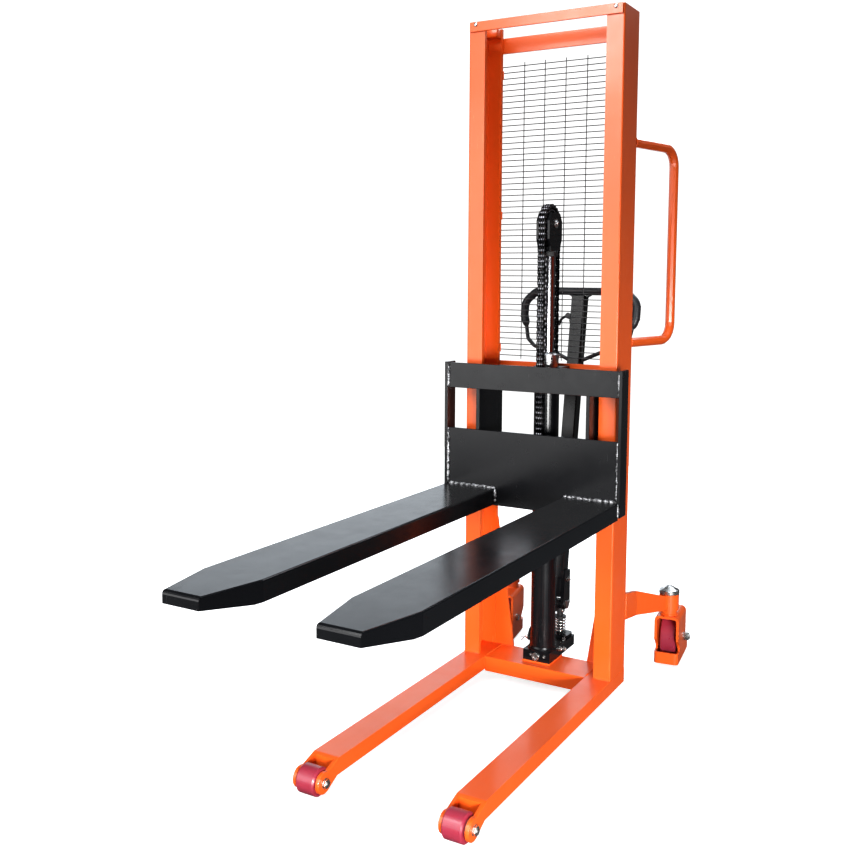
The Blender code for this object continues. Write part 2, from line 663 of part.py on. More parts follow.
def tiller():
    """The pump lever, modelled upright about its pivot: local Z runs along the bar, local Y is its depth."""
    cheek_in, cheek_out = 0.016, 0.028
    roller = (0.0267, 0.0041)
    bar_low, cheek_high = 0.080, 0.108
    bar = box("tiller_bar", (-BAR_HALF, -BAR_DEPTH_HALF, bar_low), (BAR_HALF, BAR_DEPTH_HALF, BAR_TOP),
              "black_paint", soft=0.003)
    outline = [
        *arc((0, 0), 0.016, 150, 290, 8), *arc(roller, 0.011, 290, 390, 6), (BAR_DEPTH_HALF, cheek_high),
        (-BAR_DEPTH_HALF, cheek_high),
    ]
    pieces = [bar]
    for label, side in SIDES.items():
        cheek = prism("tiller_cheek_" + label, outline, "X", span(side, cheek_in, cheek_out), "black_paint")
        combine(bar, cheek, "UNION")
    presser = rod("presser", (-cheek_in - 0.003, cheek_in + 0.003), 0.008, "X", (0, *roller), "black_paint", 16)
    combine(bar, presser, "UNION")
    bore = rod("tiller_bore", (-0.1, 0.1), PIVOT_R + RUN, "X", (0, 0, 0), "black_paint", 24)
    combine(bar, bore, "DIFFERENCE")

    top = BAR_TOP + 0.0007 + GRIP_R
    half_grip = [(0.150, top), (0.1885, 0.950), (0.1885, 0.905), (0.1785, 0.872)]
    grip = half_grip[::-1] + [(-x, z) for x, z in half_grip]
    path = [(x, 0, z) for x, z in grip]
    loop = tube("handle_loop", rounded(path, 0.040, 6, closed=False), GRIP_R, "grip_rubber")
    for label, side in SIDES.items():
        stay = [(0.180, 0.880), (0.170, 0.830), (0.145, 0.806), (0.080, 0.792), (BAR_HALF + GAP, 0.766)]
        path = [(side * x, 0, z) for x, z in stay]
        thin = tube("stay_" + label, rounded(path, 0.020, 4, closed=False), STAY_R, "grip_rubber", resolution=2)
        combine(loop, thin, "UNION")
    notch = box("bar_notch", (-BAR_HALF - GAP, -0.1, 0.6), (BAR_HALF + GAP, 0.1, BAR_TOP + GAP), "grip_rubber")
    combine(loop, notch, "DIFFERENCE")
    pieces.append(loop)

    lever_place = (-0.034, 0, 0.906)
    lever = rod("control_lever", (-0.008, 0.008), 0.0095, "Y", lever_place, "black_paint", 24)
    finger = [(0, 0, 0), (-0.016, 0, -0.004), (-0.027, 0, -0.014), (-0.031, 0, -0.031)]
    blade = tube("lever_blade", rounded(finger, 0.012, 3, closed=False), 0.0045, "black_paint", lever_place, 2)
    combine(lever, blade, "UNION")
    pieces.append(lever)
    carry(pivot("tiller_pivot", (0, PIVOT_Y, PIVOT_Z), (-TILLER_LEAN, 0, 0)), pieces, local=True)


def release_lever():
    """The lowering valve's lever, at the left of the cylinder's foot."""
    axis = (0.090, 0.125)
    outline = [
        *arc(axis, 0.010, 200, 340, 6), (0.101, 0.143), (0.110, 0.149), (0.104, 0.153), (0.094, 0.148),
        (0.082, 0.130),
    ]
    relative = [(y - axis[0], z - axis[1]) for y, z in outline]
    made = prism("release_lever", relative, "X", (-0.004, 0.004), "black_paint")
    made.location = (-0.058, *axis)


# ---------------------------------------------------------------- carriage and forks

def carriage_plates():
    face, back = PLATE_FACE, PLATE_FACE + PLATE_THICK
    half = CARRIAGE_HALF - GAP
    upper = box("carriage_plate_upper", (-half, face, 0.909), (half, back, 0.984), "black_paint", soft=0.001)
    low, high = 0.564, 0.787
    notch_in, notch_out, notch_top = 0.155, 0.250, 0.605
    right = [(notch_in, low), (notch_in, notch_top), (notch_out, notch_top), (notch_out, low), (half, low),
             (half, high)]
    outline = right + [(-x, z) for x, z in reversed(right)]
    lower = prism("carriage_plate_lower", outline, "Y", (face, back), "black_paint", soft=0.001)
    pieces = [upper, lower]
    for label, side in SIDES.items():
        inner, outer = span(side, CARRIAGE_HALF, CARRIAGE_HALF + SIDE_PLATE_THICK)
        pieces.append(box("carriage_side_" + label, (inner, SIDE_PLATE_FRONT, 0.574), (outer, -0.015, 0.986),
                          "black_paint", soft=0.001))
    return pieces


def roller_bar(label, side):
    inner, outer = span(side, ROLLER_BAR_X, ROLLER_BAR_X + ROLLER_BAR_THICK)
    front = PLATE_FACE + PLATE_THICK + GAP
    made = box("roller_bar_" + label, (inner, front, 0.612), (outer, 0.105, 0.965), "black_paint", soft=0.001)
    pieces = [made]
    bore, edge = 0.0125, 0.003
    start, end = 0.0145, 0.0590
    for level, height in CARRIAGE_ROLLERS.items():
        place = (side * ROLLER_BAR_X, CARRIAGE_ROLLER_Y, height)
        stub = rod(f"stub_{label}_{level}", sorted((side * 0.005, side * (end + 0.002))), bore - RUN, "X", place,
                   "zinc_steel", 24)
        combine(made, stub, "UNION")
        profile = [
            (start, bore), (start, CARRIAGE_ROLLER_R - edge), (start + edge, CARRIAGE_ROLLER_R),
            (end - edge, CARRIAGE_ROLLER_R), (end, CARRIAGE_ROLLER_R - edge), (end, bore),
        ]
        turned = [(side * along, radius) for along, radius in profile]
        pieces.append(lathe(f"carriage_roller_{label}_{level}", turned, "X", place, "zinc_steel", 40))
    return pieces


def front_anchor():
    strand = CYLINDER_Y - PITCH_R
    back = strand + STRAND_HALF + 0.003
    return box("chain_anchor_front", (-0.018, PLATE_FACE + PLATE_THICK + GAP, 0.700),
               (0.018, back, FRONT_ANCHOR_TOP), "black_paint", soft=0.001)


def fork(label, side):
    heel = PLATE_FACE - GAP
    tip_inner, tip_outer = 0.1425, 0.240
    # The outer edge of the heel is notched round the carriage's side plate.
    notch = (CARRIAGE_HALF - GAP, SIDE_PLATE_FRONT - GAP)
    plan = [(FORK_INNER, heel), (notch[0], heel), notch, (FORK_OUTER, notch[1]), (FORK_OUTER, FORK_TAPER),
            (tip_outer, FORK_TIP), (tip_inner, FORK_TIP), (FORK_INNER, FORK_TAPER)]

    def is_top_side(edge):
        ends = [vert.co for vert in edge.verts]
        return all(co.z > FORK_TOP - GAP for co in ends) and abs(ends[0].y - ends[1].y) > WIRE

    made = prism("fork_" + label, mirrored(plan, side), "Z", (FORK_LOW, FORK_TOP), "fork_paint",
                 soft=0.004, chosen=is_top_side, steps=3)
    skirt_end, tip_low, nose = -1.147, 0.588, 0.009
    outline = [
        (heel, FORK_LOW), (heel, FORK_TOP), *arc((FORK_TIP + nose, FORK_TOP - nose), nose, 90, 180, 4),
        (FORK_TIP, tip_low), (skirt_end, FORK_LOW),
    ]
    shape = prism(made.name + "_side", outline, "X", span(side, 0.05, 0.35), "fork_paint")
    combine(made, shape, "INTERSECT")
    wall = FORK_WALL
    hollow_plan = [
        (FORK_INNER + wall, 0), (FORK_OUTER - wall, 0), (FORK_OUTER - wall, FORK_TAPER),
        (tip_outer - wall, FORK_TIP + wall), (tip_inner + wall, FORK_TIP + wall), (FORK_INNER + wall, FORK_TAPER),
    ]
    hollow = prism(made.name + "_hollow", mirrored(hollow_plan, side), "Z", (0.4, FORK_TOP - wall), "fork_paint")
    combine(made, hollow, "DIFFERENCE")
    return [made]


# ---------------------------------------------------------------- the whole machine

def centre_on_origin():
    """Moves the machine along Y, so that the fork tips and the casters' guards are equally far from X."""
    yaw = CASTER_YAW["right"]
    rear = KINGPIN_Y + CASTER_HALF * math.sin(yaw) + GUARD_BACK * math.cos(yaw)
    shift = -(FORK_TIP + rear) / 2
    for each in bpy.data.objects:
        if each.parent is None:
            each.location.y += shift


def main():
    for each in list(bpy.data.objects):
        bpy.data.objects.remove(each)
    ties()
    base_crossmember()
    grab_handle()
    mesh_guard()
    cylinder_clamp()
    chain_strands()
    pump_block()
    pump()
    pump_bracket()
    tiller()
    release_lever()
    ram = [cylinder(), *ram_head()]
    carry(pivot("ram_slide", (0, CYLINDER_Y, ROD_TOP)), ram)
    carriage = [*carriage_plates(), front_anchor()]
    for label, side in SIDES.items():
        mast_channel(label, side)
        gusset(label, side)
        leg(label, side)
        load_roller(label, side)
        caster_arm(label, side)
        caster(label, side)
        carriage += roller_bar(label, side) + fork(label, side)
    carry(pivot("carriage_slide", (0, CARRIAGE_ROLLER_Y, CARRIAGE_ROLLERS["lower"])), carriage)
    centre_on_origin()


main()
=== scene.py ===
"""The looks of a manual hydraulic hand stacker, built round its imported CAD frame.

Units are metres. Places come from the frame's own boxes, or from at(), which takes a point in the mast's
frame: there Y = 0 is the mast's front face, so that sizes read as they do on the machine.
"""
import json
import math

import bmesh
import bpy
from mathutils import Matrix, Vector


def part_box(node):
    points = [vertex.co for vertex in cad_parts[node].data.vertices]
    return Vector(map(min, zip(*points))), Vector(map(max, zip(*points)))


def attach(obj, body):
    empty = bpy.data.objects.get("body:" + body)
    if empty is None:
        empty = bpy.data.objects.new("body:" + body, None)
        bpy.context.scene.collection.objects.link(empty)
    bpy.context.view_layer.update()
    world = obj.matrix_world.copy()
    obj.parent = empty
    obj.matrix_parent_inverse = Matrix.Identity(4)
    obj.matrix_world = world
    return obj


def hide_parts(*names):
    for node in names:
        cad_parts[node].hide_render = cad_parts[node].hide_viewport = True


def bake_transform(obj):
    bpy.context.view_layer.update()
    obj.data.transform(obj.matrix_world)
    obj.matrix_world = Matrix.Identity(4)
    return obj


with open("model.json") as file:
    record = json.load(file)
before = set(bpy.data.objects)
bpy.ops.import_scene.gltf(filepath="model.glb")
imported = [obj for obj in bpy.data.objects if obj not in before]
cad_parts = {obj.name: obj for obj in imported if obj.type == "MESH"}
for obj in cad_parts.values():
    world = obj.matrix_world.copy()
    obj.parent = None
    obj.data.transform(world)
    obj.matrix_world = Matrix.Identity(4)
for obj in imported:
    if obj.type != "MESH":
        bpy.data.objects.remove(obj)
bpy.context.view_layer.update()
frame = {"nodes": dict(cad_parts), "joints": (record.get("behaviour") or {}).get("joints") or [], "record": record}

NODES = frame["nodes"]
SIDES = ("left", "right")
BOX = {name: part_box(name) for name in NODES}
FRONT_FACE = BOX["mast_channel_right"][0].y


def at(x, y, z):
    """A point from its place in the mast's frame."""
    return Vector((x, y + FRONT_FACE, z))


def middle(node):
    low, high = BOX[node]
    return (low + high) / 2


# ---- materials

def socket_of(tree, kind, output=0, **values):
    """A new node with its inputs set or linked, and one of its outputs."""
    node = tree.nodes.new(kind)
    for name, value in values.items():
        key = name.replace("_", " ")
        target = node.inputs[key] if key in node.inputs else None
        if target is None:
            setattr(node, name, value)
        elif isinstance(value, bpy.types.NodeSocket):
            tree.links.new(value, target)
        else:
            target.default_value = value
    return node.outputs[output]


# Where most of a noise's values lie, and nearly all.
NARROW = (0.35, 0.65)
BROAD = (0.3, 0.7)


class Surface:
    """A Principled material. Its colour, roughness and bump come from 3-D noise in the piece's own space."""

    def __init__(self, name, roughness, metallic=0.0, **sockets):
        self.material = bpy.data.materials.new(name)
        self.material.use_nodes = True
        self.tree = self.material.node_tree
        self.shader = self.tree.nodes["Principled BSDF"]
        self.shader.inputs["Roughness"].default_value = roughness
        self.shader.inputs["Metallic"].default_value = metallic
        for key, value in sockets.items():
            self.shader.inputs[key.replace("_", " ")].default_value = value
        self.place = socket_of(self.tree, "ShaderNodeTexCoord", "Object")

    def noise(self, scale, detail, rough=0.5, stretch=(1, 1, 1)):
        """A noise's value. It is drawn out along an axis where its stretch is less than on the others."""
        place = self.place
        if stretch != (1, 1, 1):
            place = socket_of(self.tree, "ShaderNodeMapping", Vector=place, Scale=stretch)
        return socket_of(self.tree, "ShaderNodeTexNoise", "Fac", Vector=place, Scale=scale, Detail=detail,
                         Roughness=rough)

    def spread(self, fac, low, high, start=0.0, end=1.0):
        """Maps a noise's stretch from start to end on to low to high, and holds it beyond."""
        return socket_of(self.tree, "ShaderNodeMapRange", Value=fac, From_Min=start, From_Max=end,
                         To_Min=low, To_Max=high)

    def colours(self, fac, first, second):
        """A mix from first to second as fac goes from 0 to 1. Each is a colour or a socket."""
        node = self.tree.nodes.new("ShaderNodeMix")
        node.data_type = "RGBA"
        self.tree.links.new(fac, node.inputs["Factor"])
        for socket, value in ((node.inputs["A"], first), (node.inputs["B"], second)):
            if isinstance(value, bpy.types.NodeSocket):
                self.tree.links.new(value, socket)
            else:
                socket.default_value = (*value, 1.0)
        return node.outputs["Result"]

    def product(self, first, second):
        output = socket_of(self.tree, "ShaderNodeMath", operation="MULTIPLY")
        for socket, value in zip(output.node.inputs, (first, second)):
            self.tree.links.new(value, socket)
        return output

    def link(self, name, output):
        self.tree.links.new(output, self.shader.inputs[name])

    def bump(self, fac, strength, distance):
        normal = socket_of(self.tree, "ShaderNodeBump", Height=fac, Strength=strength, Distance=distance)
        self.link("Normal", normal)


def paint(name, colour, shade, roughness, scuff, coat, uneven=0.05, peel=0.06):
    """Powder coat: orange peel, faint cloudiness, and sparse fine scuffs that are paler."""
    made = Surface(name, roughness, Coat_Weight=coat, Coat_Roughness=0.12,
                   Specular_IOR_Level=0.5 if coat else 0.4)
    base = made.colours(made.spread(made.noise(3.0, 2.0), 0, 1, *NARROW), colour, shade)
    streaks = made.spread(made.noise(16.0, 4.0, 0.6, stretch=(9, 9, 1)), 0, 1, 0.66, 0.72)
    marked = made.spread(made.noise(5.0, 2.0), 0, 1, 0.52, 0.62)
    made.link("Base Color", made.colours(made.product(streaks, marked), base, scuff))
    tone = made.noise(22.0, 5.0)
    made.link("Roughness", made.spread(tone, roughness - uneven, roughness + uneven, *BROAD))
    made.bump(made.noise(260.0, 2.0), peel, 0.0004)
    return made.material


def metal(name, colour, shade, roughness, grain=(1, 1, 1), depth=0.05):
    """Plated or bare steel, with brushed grain where it is stretched, and a slightly uneven tone."""
    made = Surface(name, roughness, metallic=1.0)
    made.link("Base Color", made.colours(made.spread(made.noise(24.0, 4.0), 0, 1, *NARROW), colour, shade))
    fine = made.noise(420.0, 3.0, 0.6, stretch=grain)
    made.link("Roughness", made.spread(fine, roughness * 0.7, roughness * 1.4, *BROAD))
    made.bump(fine, depth, 0.0002)
    return made.material


def bare_weld(name, colour, burnt, roughness):
    """Weld metal: bright ripples with burnt, sooty stretches between them."""
    made = Surface(name, roughness)
    patches = made.spread(made.noise(95.0, 3.0, 0.6), 0, 1, 0.42, 0.54)
    made.link("Base Color", made.colours(patches, colour, burnt))
    made.link("Metallic", made.spread(patches, 1.0, 0.3))
    made.link("Roughness", made.spread(made.noise(260.0, 3.0), roughness - 0.1, roughness + 0.16, *BROAD))
    made.bump(made.noise(340.0, 2.0), 0.35, 0.0006)
    return made.material


def rubbery(name, colour, shade, roughness, grain, depth, **sockets):
    """Rubber, plastic or grime, whose fine texture has the scale of grain and the strength of depth."""
    made = Surface(name, roughness, **sockets)
    made.link("Base Color", made.colours(made.spread(made.noise(9.0, 3.0), 0, 1, *NARROW), colour, shade))
    made.link("Roughness", made.spread(made.noise(40.0, 3.0), roughness - 0.06, roughness + 0.08, *BROAD))
    made.bump(made.noise(grain, 2.0), depth, 0.0004)
    return made.material


def seen_or_lit(tree, seen, lit):
    """One strength for what the camera sees straight on, and another for what is lit or mirrored."""
    straight = socket_of(tree, "ShaderNodeLightPath", "Is Camera Ray")
    return socket_of(tree, "ShaderNodeMapRange", Value=straight, To_Min=lit, To_Max=seen)


def floor_white():
    """The floor's plain surface, barely mottled. Away from the machine it fades to the room's white."""
    made = Surface("floor", 0.8, Emission_Color=(1.0, 1.0, 1.0, 1.0))
    mottle = made.spread(made.noise(1.5, 3.0), 0, 1, *BROAD)
    white = made.colours(mottle, (0.8, 0.8, 0.8), (0.79, 0.79, 0.79))
    straight = seen_or_lit(made.tree, 1.0, 0.0)
    made.link("Base Color", made.colours(straight, (0.1, 0.1, 0.1), white))
    distance = socket_of(made.tree, "ShaderNodeVectorMath", "Value", operation="LENGTH", Vector=made.place)
    fade_start, fade_end = 1.1, 2.6
    glow = made.spread(distance, 0.62, 1.0, fade_start, fade_end)
    made.link("Emission Strength", made.product(glow, straight))
    return made.material


MATERIALS = {name: make(name, **values) for name, make, values in (
    ("orange_paint", paint, dict(
        colour=(0.82, 0.122, 0.015), shade=(0.78, 0.11, 0.013), roughness=0.34, scuff=(0.84, 0.2, 0.06),
        coat=0.3)),
    ("black_paint", paint, dict(
        colour=(0.0042, 0.0044, 0.0054), shade=(0.0056, 0.0058, 0.007), roughness=0.25,
        scuff=(0.03, 0.03, 0.032), coat=0.0, uneven=0.03, peel=0.04)),
    ("fork_paint", paint, dict(
        colour=(0.0038, 0.0042, 0.0054), shade=(0.0052, 0.0057, 0.007), roughness=0.22,
        scuff=(0.04, 0.04, 0.045), coat=0.0, uneven=0.03, peel=0.04)),
    ("polyurethane", rubbery, dict(
        colour=(0.34, 0.036, 0.064), shade=(0.27, 0.026, 0.05), roughness=0.32, grain=60.0, depth=0.1,
        Subsurface_Weight=0.12, Subsurface_Scale=0.004, Coat_Weight=0.3, Coat_Roughness=0.2)),
    ("zinc_steel", metal, dict(colour=(0.54, 0.54, 0.54), shade=(0.4, 0.4, 0.4), roughness=0.28)),
    ("chrome", metal, dict(
        colour=(0.32, 0.31, 0.33), shade=(0.28, 0.28, 0.3), roughness=0.15, grain=(1, 1, 0.1), depth=0.0)),
    ("chain_steel", metal, dict(colour=(0.03, 0.03, 0.033), shade=(0.055, 0.053, 0.051), roughness=0.38)),
    ("chain_pin", metal, dict(colour=(0.4, 0.4, 0.44), shade=(0.24, 0.24, 0.27), roughness=0.34)),
    ("mesh_wire", rubbery, dict(
        colour=(0.018, 0.018, 0.02), shade=(0.028, 0.028, 0.03), roughness=0.42, grain=700.0, depth=0.15)),
    ("grip_rubber", rubbery, dict(
        colour=(0.012, 0.014, 0.017), shade=(0.018, 0.02, 0.024), roughness=0.46, grain=900.0, depth=0.25)),
    ("spring_steel", metal, dict(colour=(0.24, 0.24, 0.25), shade=(0.16, 0.16, 0.17), roughness=0.32)),
    ("weld", bare_weld, dict(colour=(0.66, 0.66, 0.68), burnt=(0.03, 0.03, 0.032), roughness=0.34)),
    ("pin_steel", metal, dict(colour=(0.78, 0.78, 0.76), shade=(0.6, 0.6, 0.58), roughness=0.24)),
    # Near-black: the own colour of the seals, wiper, lock nut and plunger head, and painted shade on the plunger's
    # shank inside the spring and in the gland's pin holes.
    ("soot", rubbery, dict(
        colour=(0.01, 0.01, 0.011), shade=(0.018, 0.018, 0.019), roughness=0.5, grain=500.0, depth=0.2)),
)}


# ---- shapes

def aimed(place, direction):
    """A matrix that puts local Z along a direction, at a place."""
    return Matrix.Translation(place) @ Vector(direction).to_track_quat("Z", "Y").to_matrix().to_4x4()


def bridge(bm, ring, following):
    count = len(ring)
    for i in range(count):
        j = (i + 1) % count
        bm.faces.new((ring[i], ring[j], following[j], following[i]))


def lathe(bm, profile, matrix, segments=32):
    """A turned shape about local Z. Its profile is (along, radius); off the axis, it closes on itself."""
    rings = []
    for along, radius in profile:
        ring = [
            bm.verts.new(matrix @ Vector((radius * math.cos(turn), radius * math.sin(turn), along)))
            for turn in (math.tau * i / segments for i in range(segments))
        ] if radius else None
        rings.append((ring, along))
    closed = rings[0][0] is not None and rings[-1][0] is not None
    pairs = list(zip(rings, rings[1:])) + ([(rings[-1], rings[0])] if closed else [])
    for (ring, _), (following, _) in pairs:
        if ring is None:
            bm.faces.new(following)
        elif following is None:
            bm.faces.new(ring)
        else:
            bridge(bm, ring, following)


def prism(bm, outline, low, high, matrix):
    """An outline in local X and Y, pushed along local Z."""
    near = [bm.verts.new(matrix @ Vector((x, y, low))) for x, y in outline]
    far = [bm.verts.new(matrix @ Vector((x, y, high))) for x, y in outline]
    bm.faces.new(near)
    bm.faces.new(far)
    bridge(bm, near, far)


def frames_along(path):
    """A tangent and two normals at each point of a path, which turn as little as possible along it."""
    count = len(path)
    tangents = []
    for i in range(count):
        before = path[max(i - 1, 0)]
        after = path[min(i + 1, count - 1)]
        tangents.append((after - before).normalized())
    normal = tangents[0].orthogonal().normalized()
    made = []
    for tangent in tangents:
        normal = (normal - tangent * normal.dot(tangent)).normalized()
        made.append((tangent, normal, tangent.cross(normal)))
    return made


def tube(bm, path, radius, sides=16):
    """A round bar along a path. The radius may be a function of the share of the path, from 0 to 1."""
    rings = []
    for i, (point, (_, normal, side)) in enumerate(zip(path, frames_along(path))):
        size = radius(i / (len(path) - 1)) if callable(radius) else radius
        rings.append([
            bm.verts.new(point + normal * math.cos(turn) * size + side * math.sin(turn) * size)
            for turn in (math.tau * k / sides for k in range(sides))
        ])
    for ring, following in zip(rings, rings[1:]):
        bridge(bm, ring, following)
    bm.faces.new(rings[0])
    bm.faces.new(rings[-1])


def block(bm, low, high, soft=0.0):
    """A box with softened edges."""
    low, high = Vector(low), Vector(high)
    part = bmesh.new()
    bmesh.ops.create_cube(part, size=1.0)
    for vert in part.verts:
        vert.co = Vector(low[i] + (vert.co[i] + 0.5) * (high[i] - low[i]) for i in range(3))
    if soft:
        bmesh.ops.bevel(part, geom=list(part.edges), offset=soft, segments=2, affect="EDGES", profile=0.5)
    moved = bpy.data.meshes.new("part")
    part.to_mesh(moved)
    part.free()
    bm.from_mesh(moved)
    bpy.data.meshes.remove(moved)


def rounded(corners, radius, steps=6, closed=False):
    """Corners of a path or an outline, each replaced by an arc of that radius."""
    points = [Vector(corner) for corner in corners]
    made = []
    for i, corner in enumerate(points):
        if not closed and i in (0, len(points) - 1):
            made.append(corner)
            continue
        before = (points[i - 1] - corner).normalized()
        after = (points[(i + 1) % len(points)] - corner).normalized()
        half = before.angle(after) / 2
        centre = corner + (before + after).normalized() * radius / math.sin(half)
        start = corner + before * radius / math.tan(half) - centre
        end = corner + after * radius / math.tan(half) - centre
        sweep = start.angle(end)
        for step in range(steps + 1):
            share = step / steps
            made.append(centre + (
                start * math.sin((1 - share) * sweep) + end * math.sin(share * sweep)
            ) / math.sin(sweep))
    return made


def dense(path, step):
    """The same path with points at most one step apart."""
    made = [path[0]]
    for start, end in zip(path, path[1:]):
        count = max(1, math.ceil((end - start).length / step))
        made += [start.lerp(end, i / count) for i in range(1, count + 1)]
    return made


def smooth_path(points, count):
    """A Catmull-Rom curve through points, with count steps on each stretch."""
    ends = [points[0] * 2 - points[1], *points, points[-1] * 2 - points[-2]]
    made = []
    for a, b, c, d in zip(ends, ends[1:], ends[2:], ends[3:]):
        for i in range(count):
            t = i / count
            made.append(0.5 * (2 * b + (c - a) * t + (2 * a - 5 * b + 4 * c - d) * t * t
                               + (3 * b - a - 3 * c + d) * t ** 3))
    return made + [points[-1]]


def placed(name, data):
    made = bpy.data.objects.new(name, data)
    bpy.context.scene.collection.objects.link(made)
    return made


def piece(name, bm, slot, body=None, sharp=32):
    """A finished object from a bmesh, with its material, which rides on a body."""
    bmesh.ops.recalc_face_normals(bm, faces=bm.faces)
    mesh = bpy.data.meshes.new(name)
    bm.to_mesh(mesh)
    bm.free()
    mesh.shade_smooth()
    mesh.set_sharp_from_angle(angle=math.radians(sharp))
    mesh.materials.append(MATERIALS[slot])
    made = placed(name, mesh)
    if body:
        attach(made, body)
    return made


def turned(name, profile, matrix, segments, slot, body):
    """A piece that is one turned shape."""
    bm = bmesh.new()
    lathe(bm, profile, matrix, segments)
    return piece(name, bm, slot, body)


SLOT_OF = {entry["node"]: entry["material_slot"] for entry in frame["record"]["subparts"]}


def dress_frame():
    """Gives each CAD node its slot's procedural material, but a dark one to the plunger, painted shade for its
    shank inside the spring.
    """
    for name, node in NODES.items():
        node.data.materials.clear()
        # The plunger's dark material paints the shade inside the return spring.
        node.data.materials.append(MATERIALS["soot" if name == "pump_plunger" else SLOT_OF[name]])


# ---- fasteners and welds

def hexagon(across_flats):
    radius = across_flats / math.sqrt(3)
    turns = [math.radians(60 * i) for i in range(6)]
    return [(radius * math.cos(turn), radius * math.sin(turn)) for turn in turns]


def nut(bm, place, direction, flats, thick, stud=0.0):
    """A hexagon with chamfered corners on a washer, with a stud's end where stud is its length."""
    matrix = aimed(place, direction)
    washer, washer_r = 0.0015, flats * 0.6
    lathe(bm, [(0, 0), (0, washer_r), (washer, washer_r), (washer, 0)], matrix, 24)
    rings = []
    for along, share in ((washer, 1.0), (washer + thick * 0.85, 1.0), (washer + thick, 0.88)):
        corners = [Vector((x * share, y * share, along)) for x, y in hexagon(flats)]
        rings.append([bm.verts.new(matrix @ corner) for corner in corners])
    for ring, following in zip(rings, rings[1:]):
        bridge(bm, ring, following)
    bm.faces.new(rings[0])
    bm.faces.new(rings[-1])
    if stud:
        top, chamfer = washer + thick, 0.001
        r = flats / math.sqrt(3) * 0.52
        lathe(bm, [(top - chamfer, 0), (top - chamfer, r), (top + stud - chamfer, r), (top + stud, r * 0.8),
                   (top + stud, 0)], matrix, 20)


def domed(bm, place, direction, radius, height):
    """A round bolt head."""
    steps = 6
    profile = [(0, 0), (0, radius)]
    for turn in (math.radians(90 * i / steps) for i in range(steps)):
        profile.append((height * math.sin(turn) * 0.9 + height * 0.1, radius * math.cos(turn)))
    lathe(bm, profile + [(height, 0)], aimed(place, direction), 24)


def weld_bead(bm, start, end, radius, seed=0.0):
    """A bead in a corner, with the scallops that the torch leaves."""
    length = (end - start).length
    step, scallop_pitch = 0.0011, 0.0052

    def size(share):
        along = share * length
        wander = math.sin(along * 410 + seed) * 0.12 + math.sin(along * 173 + seed * 2.3) * 0.16
        scallop = abs(math.sin(along * math.pi / scallop_pitch)) * 0.34
        taper = min(1.0, 0.35 + 14 * min(share, 1 - share))
        return radius * (0.74 + scallop + wander) * taper

    tube(bm, dense([start, end], step), size, sides=10)


def welds(name, seams, radius, slot, body, matrix=Matrix()):
    """A piece of beads on both sides of the machine. A seam is the two ends of the right side's bead."""
    bm = bmesh.new()
    ends = [[matrix @ Vector((side * x, y, z)) for x, y, z in seam] for side in (-1, 1) for seam in seams]
    for i, (start, end) in enumerate(ends):
        weld_bead(bm, start, end, radius, seed=i * 1.7)
    piece(name, bm, slot, body, sharp=60)


# ---- mast

def mesh_guard():
    """The round wires of the rear guard: rows in front, columns welded behind them."""
    low, high = BOX["mesh_guard"]
    wire, overrun, rows = 0.0014, 0.009, 51
    first, last = low.z + overrun + wire, high.z - overrun - wire
    depth = middle("mesh_guard").y
    bm = bmesh.new()
    for i in range(rows):
        z = first + (last - first) * i / (rows - 1)
        tube(bm, [Vector((low.x, depth, z)), Vector((high.x, depth, z))], wire, sides=8)
    centre, spacing = 0.013, 0.0675
    behind = depth + wire * 1.7
    for x in (low.x + wire, *(centre + spacing * i for i in range(-2, 3)), high.x - wire):
        tube(bm, [Vector((x, behind, low.z)), Vector((x, behind, high.z))], wire, sides=8)
    made = piece("mesh_wires", bm, "mesh_wire", "root")
    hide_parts("mesh_guard")


def mesh_clips():
    """Six tabs that hold the guard to the channels' rear flanges, each with a lip over the guard's edge."""
    guard_back = BOX["mesh_guard"][1].y
    back = BOX["mast_channel_right"][1].y
    tall, soft = 0.024, 0.0008
    bm = bmesh.new()
    for side in (-1, 1):
        for z in (1.0205, 1.4285, 1.8515):
            low, high = z - tall / 2, z + tall / 2
            tab_in, tab_out = sorted((side * 0.186, side * 0.212))
            block(bm, (tab_in, back + 0.0002, low), (tab_out, back + 0.0032, high), soft)
            lip_in, lip_out = sorted((side * 0.203, side * 0.2065))
            block(bm, (lip_in, back + 0.001, low), (lip_out, guard_back, high), soft)
    piece("mesh_clips", bm, "orange_paint", "root")


def mast_top():
    """The front tie's bolts, the stops that keep the rollers in the channels, and the rear ties' nuts."""
    tie_low, tie_high = BOX["top_tie_front"]
    bolt_x, bolt_drop = 0.216, 0.0078
    bm = bmesh.new()
    for side in (-1, 1):
        domed(bm, Vector((side * bolt_x, tie_low.y, tie_high.z - bolt_drop)), (0, -1, 0), 0.0065, 0.0035)
    piece("top_tie_bolts", bm, "pin_steel", "root")
    top = tie_high.z
    stop_in, stop_out, stop_front, stop_back = 0.19, 0.2315, 0.08, 0.1095
    bm = bmesh.new()
    for side in (-1, 1):
        inner, outer = sorted((side * stop_in, side * stop_out))
        block(bm, at(inner, stop_front, top - 0.028), at(outer, stop_back, top - 0.001), 0.0015)
    piece("roller_stops", bm, "orange_paint", "root")
    nut_x = 0.197
    bm = bmesh.new()
    for tie in ("top_tie_rear", "middle_crossmember"):
        low, high = BOX[tie]
        for side in (-1, 1):
            place = Vector((side * nut_x, high.y, (low.z + high.z) / 2))
            nut(bm, place, (0, 1, 0), flats=0.013, thick=0.006, stud=0.003)
    piece("tie_nuts", bm, "zinc_steel", "root")


